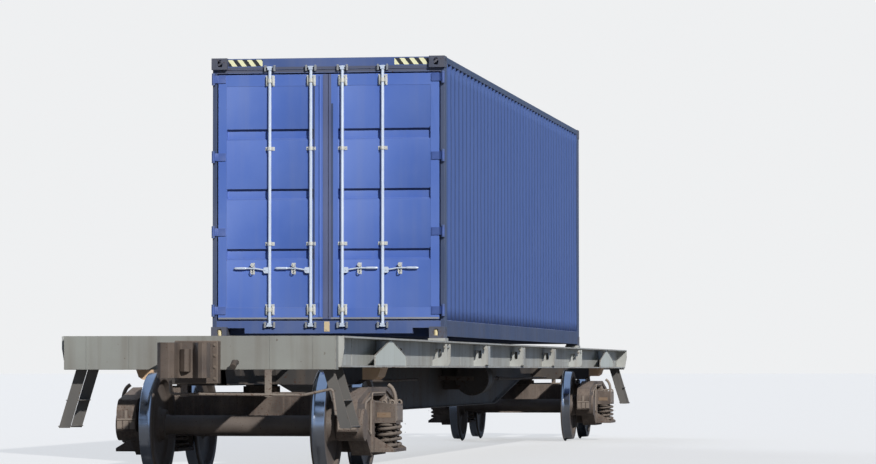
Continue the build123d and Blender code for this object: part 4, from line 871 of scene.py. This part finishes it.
# The stage: a pale floor, soft light from above and a low sun from the doors' side, and the camera.
floor_mesh = bpy.data.meshes.new("floor")
floor_mesh.from_pydata([(-900, -900, 0), (900, -900, 0), (900, 900, 0), (-900, 900, 0)], [], [(0, 1, 2, 3)])
floor_paint = bpy.data.materials.new("pale_floor")
floor_paint.use_nodes = True
floor_shader = floor_paint.node_tree.nodes["Principled BSDF"]
floor_shader.inputs["Base Color"].default_value = (0.24, 0.235, 0.23, 1)
floor_shader.inputs["Roughness"].default_value = 0.95
floor_shader.inputs["Emission Color"].default_value = (0.56, 0.565, 0.57, 1)
seen = put(floor_paint.node_tree, "LightPath").outputs["Is Camera Ray"]
floor_paint.node_tree.links.new(seen, floor_shader.inputs["Emission Strength"])
floor_mesh.materials.append(floor_paint)
floor = bpy.data.objects.new("floor", floor_mesh)
collection.objects.link(floor)

for name, toward, energy, colour, width in (
        ("sun", (-0.76, -0.47, 0.44), 3.75, (1.0, 0.975, 0.94), 1.2),
        ("back_light", (0.7, 0.55, 0.45), 1.3, (0.86, 0.92, 1.0), 25)):
    light = bpy.data.objects.new(name, bpy.data.lights.new(name, "SUN"))
    light.data.energy = energy
    light.data.color = colour
    light.data.angle = math.radians(width)
    light.rotation_euler = Vector(toward).to_track_quat("Z", "Y").to_euler()
    collection.objects.link(light)

# The sky is dim and blue; what shines mirrors a brighter one, and the camera sees a pale backdrop.
world = bpy.data.worlds.new("studio")
world.use_nodes = True
bpy.context.scene.world = world
sky = world.node_tree
rays = put(sky, "LightPath").outputs
shown = calc("MAXIMUM", rays["Is Camera Ray"], rays["Is Transmission Ray"])
mirrored = tint(rays["Is Glossy Ray"], (0.062, 0.072, 0.094, 1), (0.5, 0.68, 0.98, 1))
sky.links.new(tint(shown, mirrored, (0.86, 0.87, 0.88, 1)), sky.nodes["Background"].inputs["Color"])

# The camera that was fitted to the photograph, with its focal length in pixels of the photograph.
focal_length, photo_width = 3723, 876
yaw, pitch, roll = 0.1511, 0.037, -0.0005
camera = bpy.data.objects.new("camera", bpy.data.cameras.new("camera"))
collection.objects.link(camera)
bpy.context.scene.camera = camera
forward = Vector((math.cos(pitch) * math.cos(yaw), math.cos(pitch) * math.sin(yaw), math.sin(pitch)))
camera.data.sensor_width = 36.0
camera.data.lens = focal_length / photo_width * camera.data.sensor_width
camera.data.clip_start, camera.data.clip_end = 1.0, 2000.0
camera.location = (-43.73, -6.881, 1.006)
turned_view = forward.to_track_quat("-Z", "Y").to_matrix() @ Matrix.Rotation(roll, 3, "Z")
camera.rotation_euler = turned_view.to_euler()
bpy.context.scene.view_settings.view_transform = "Standard"
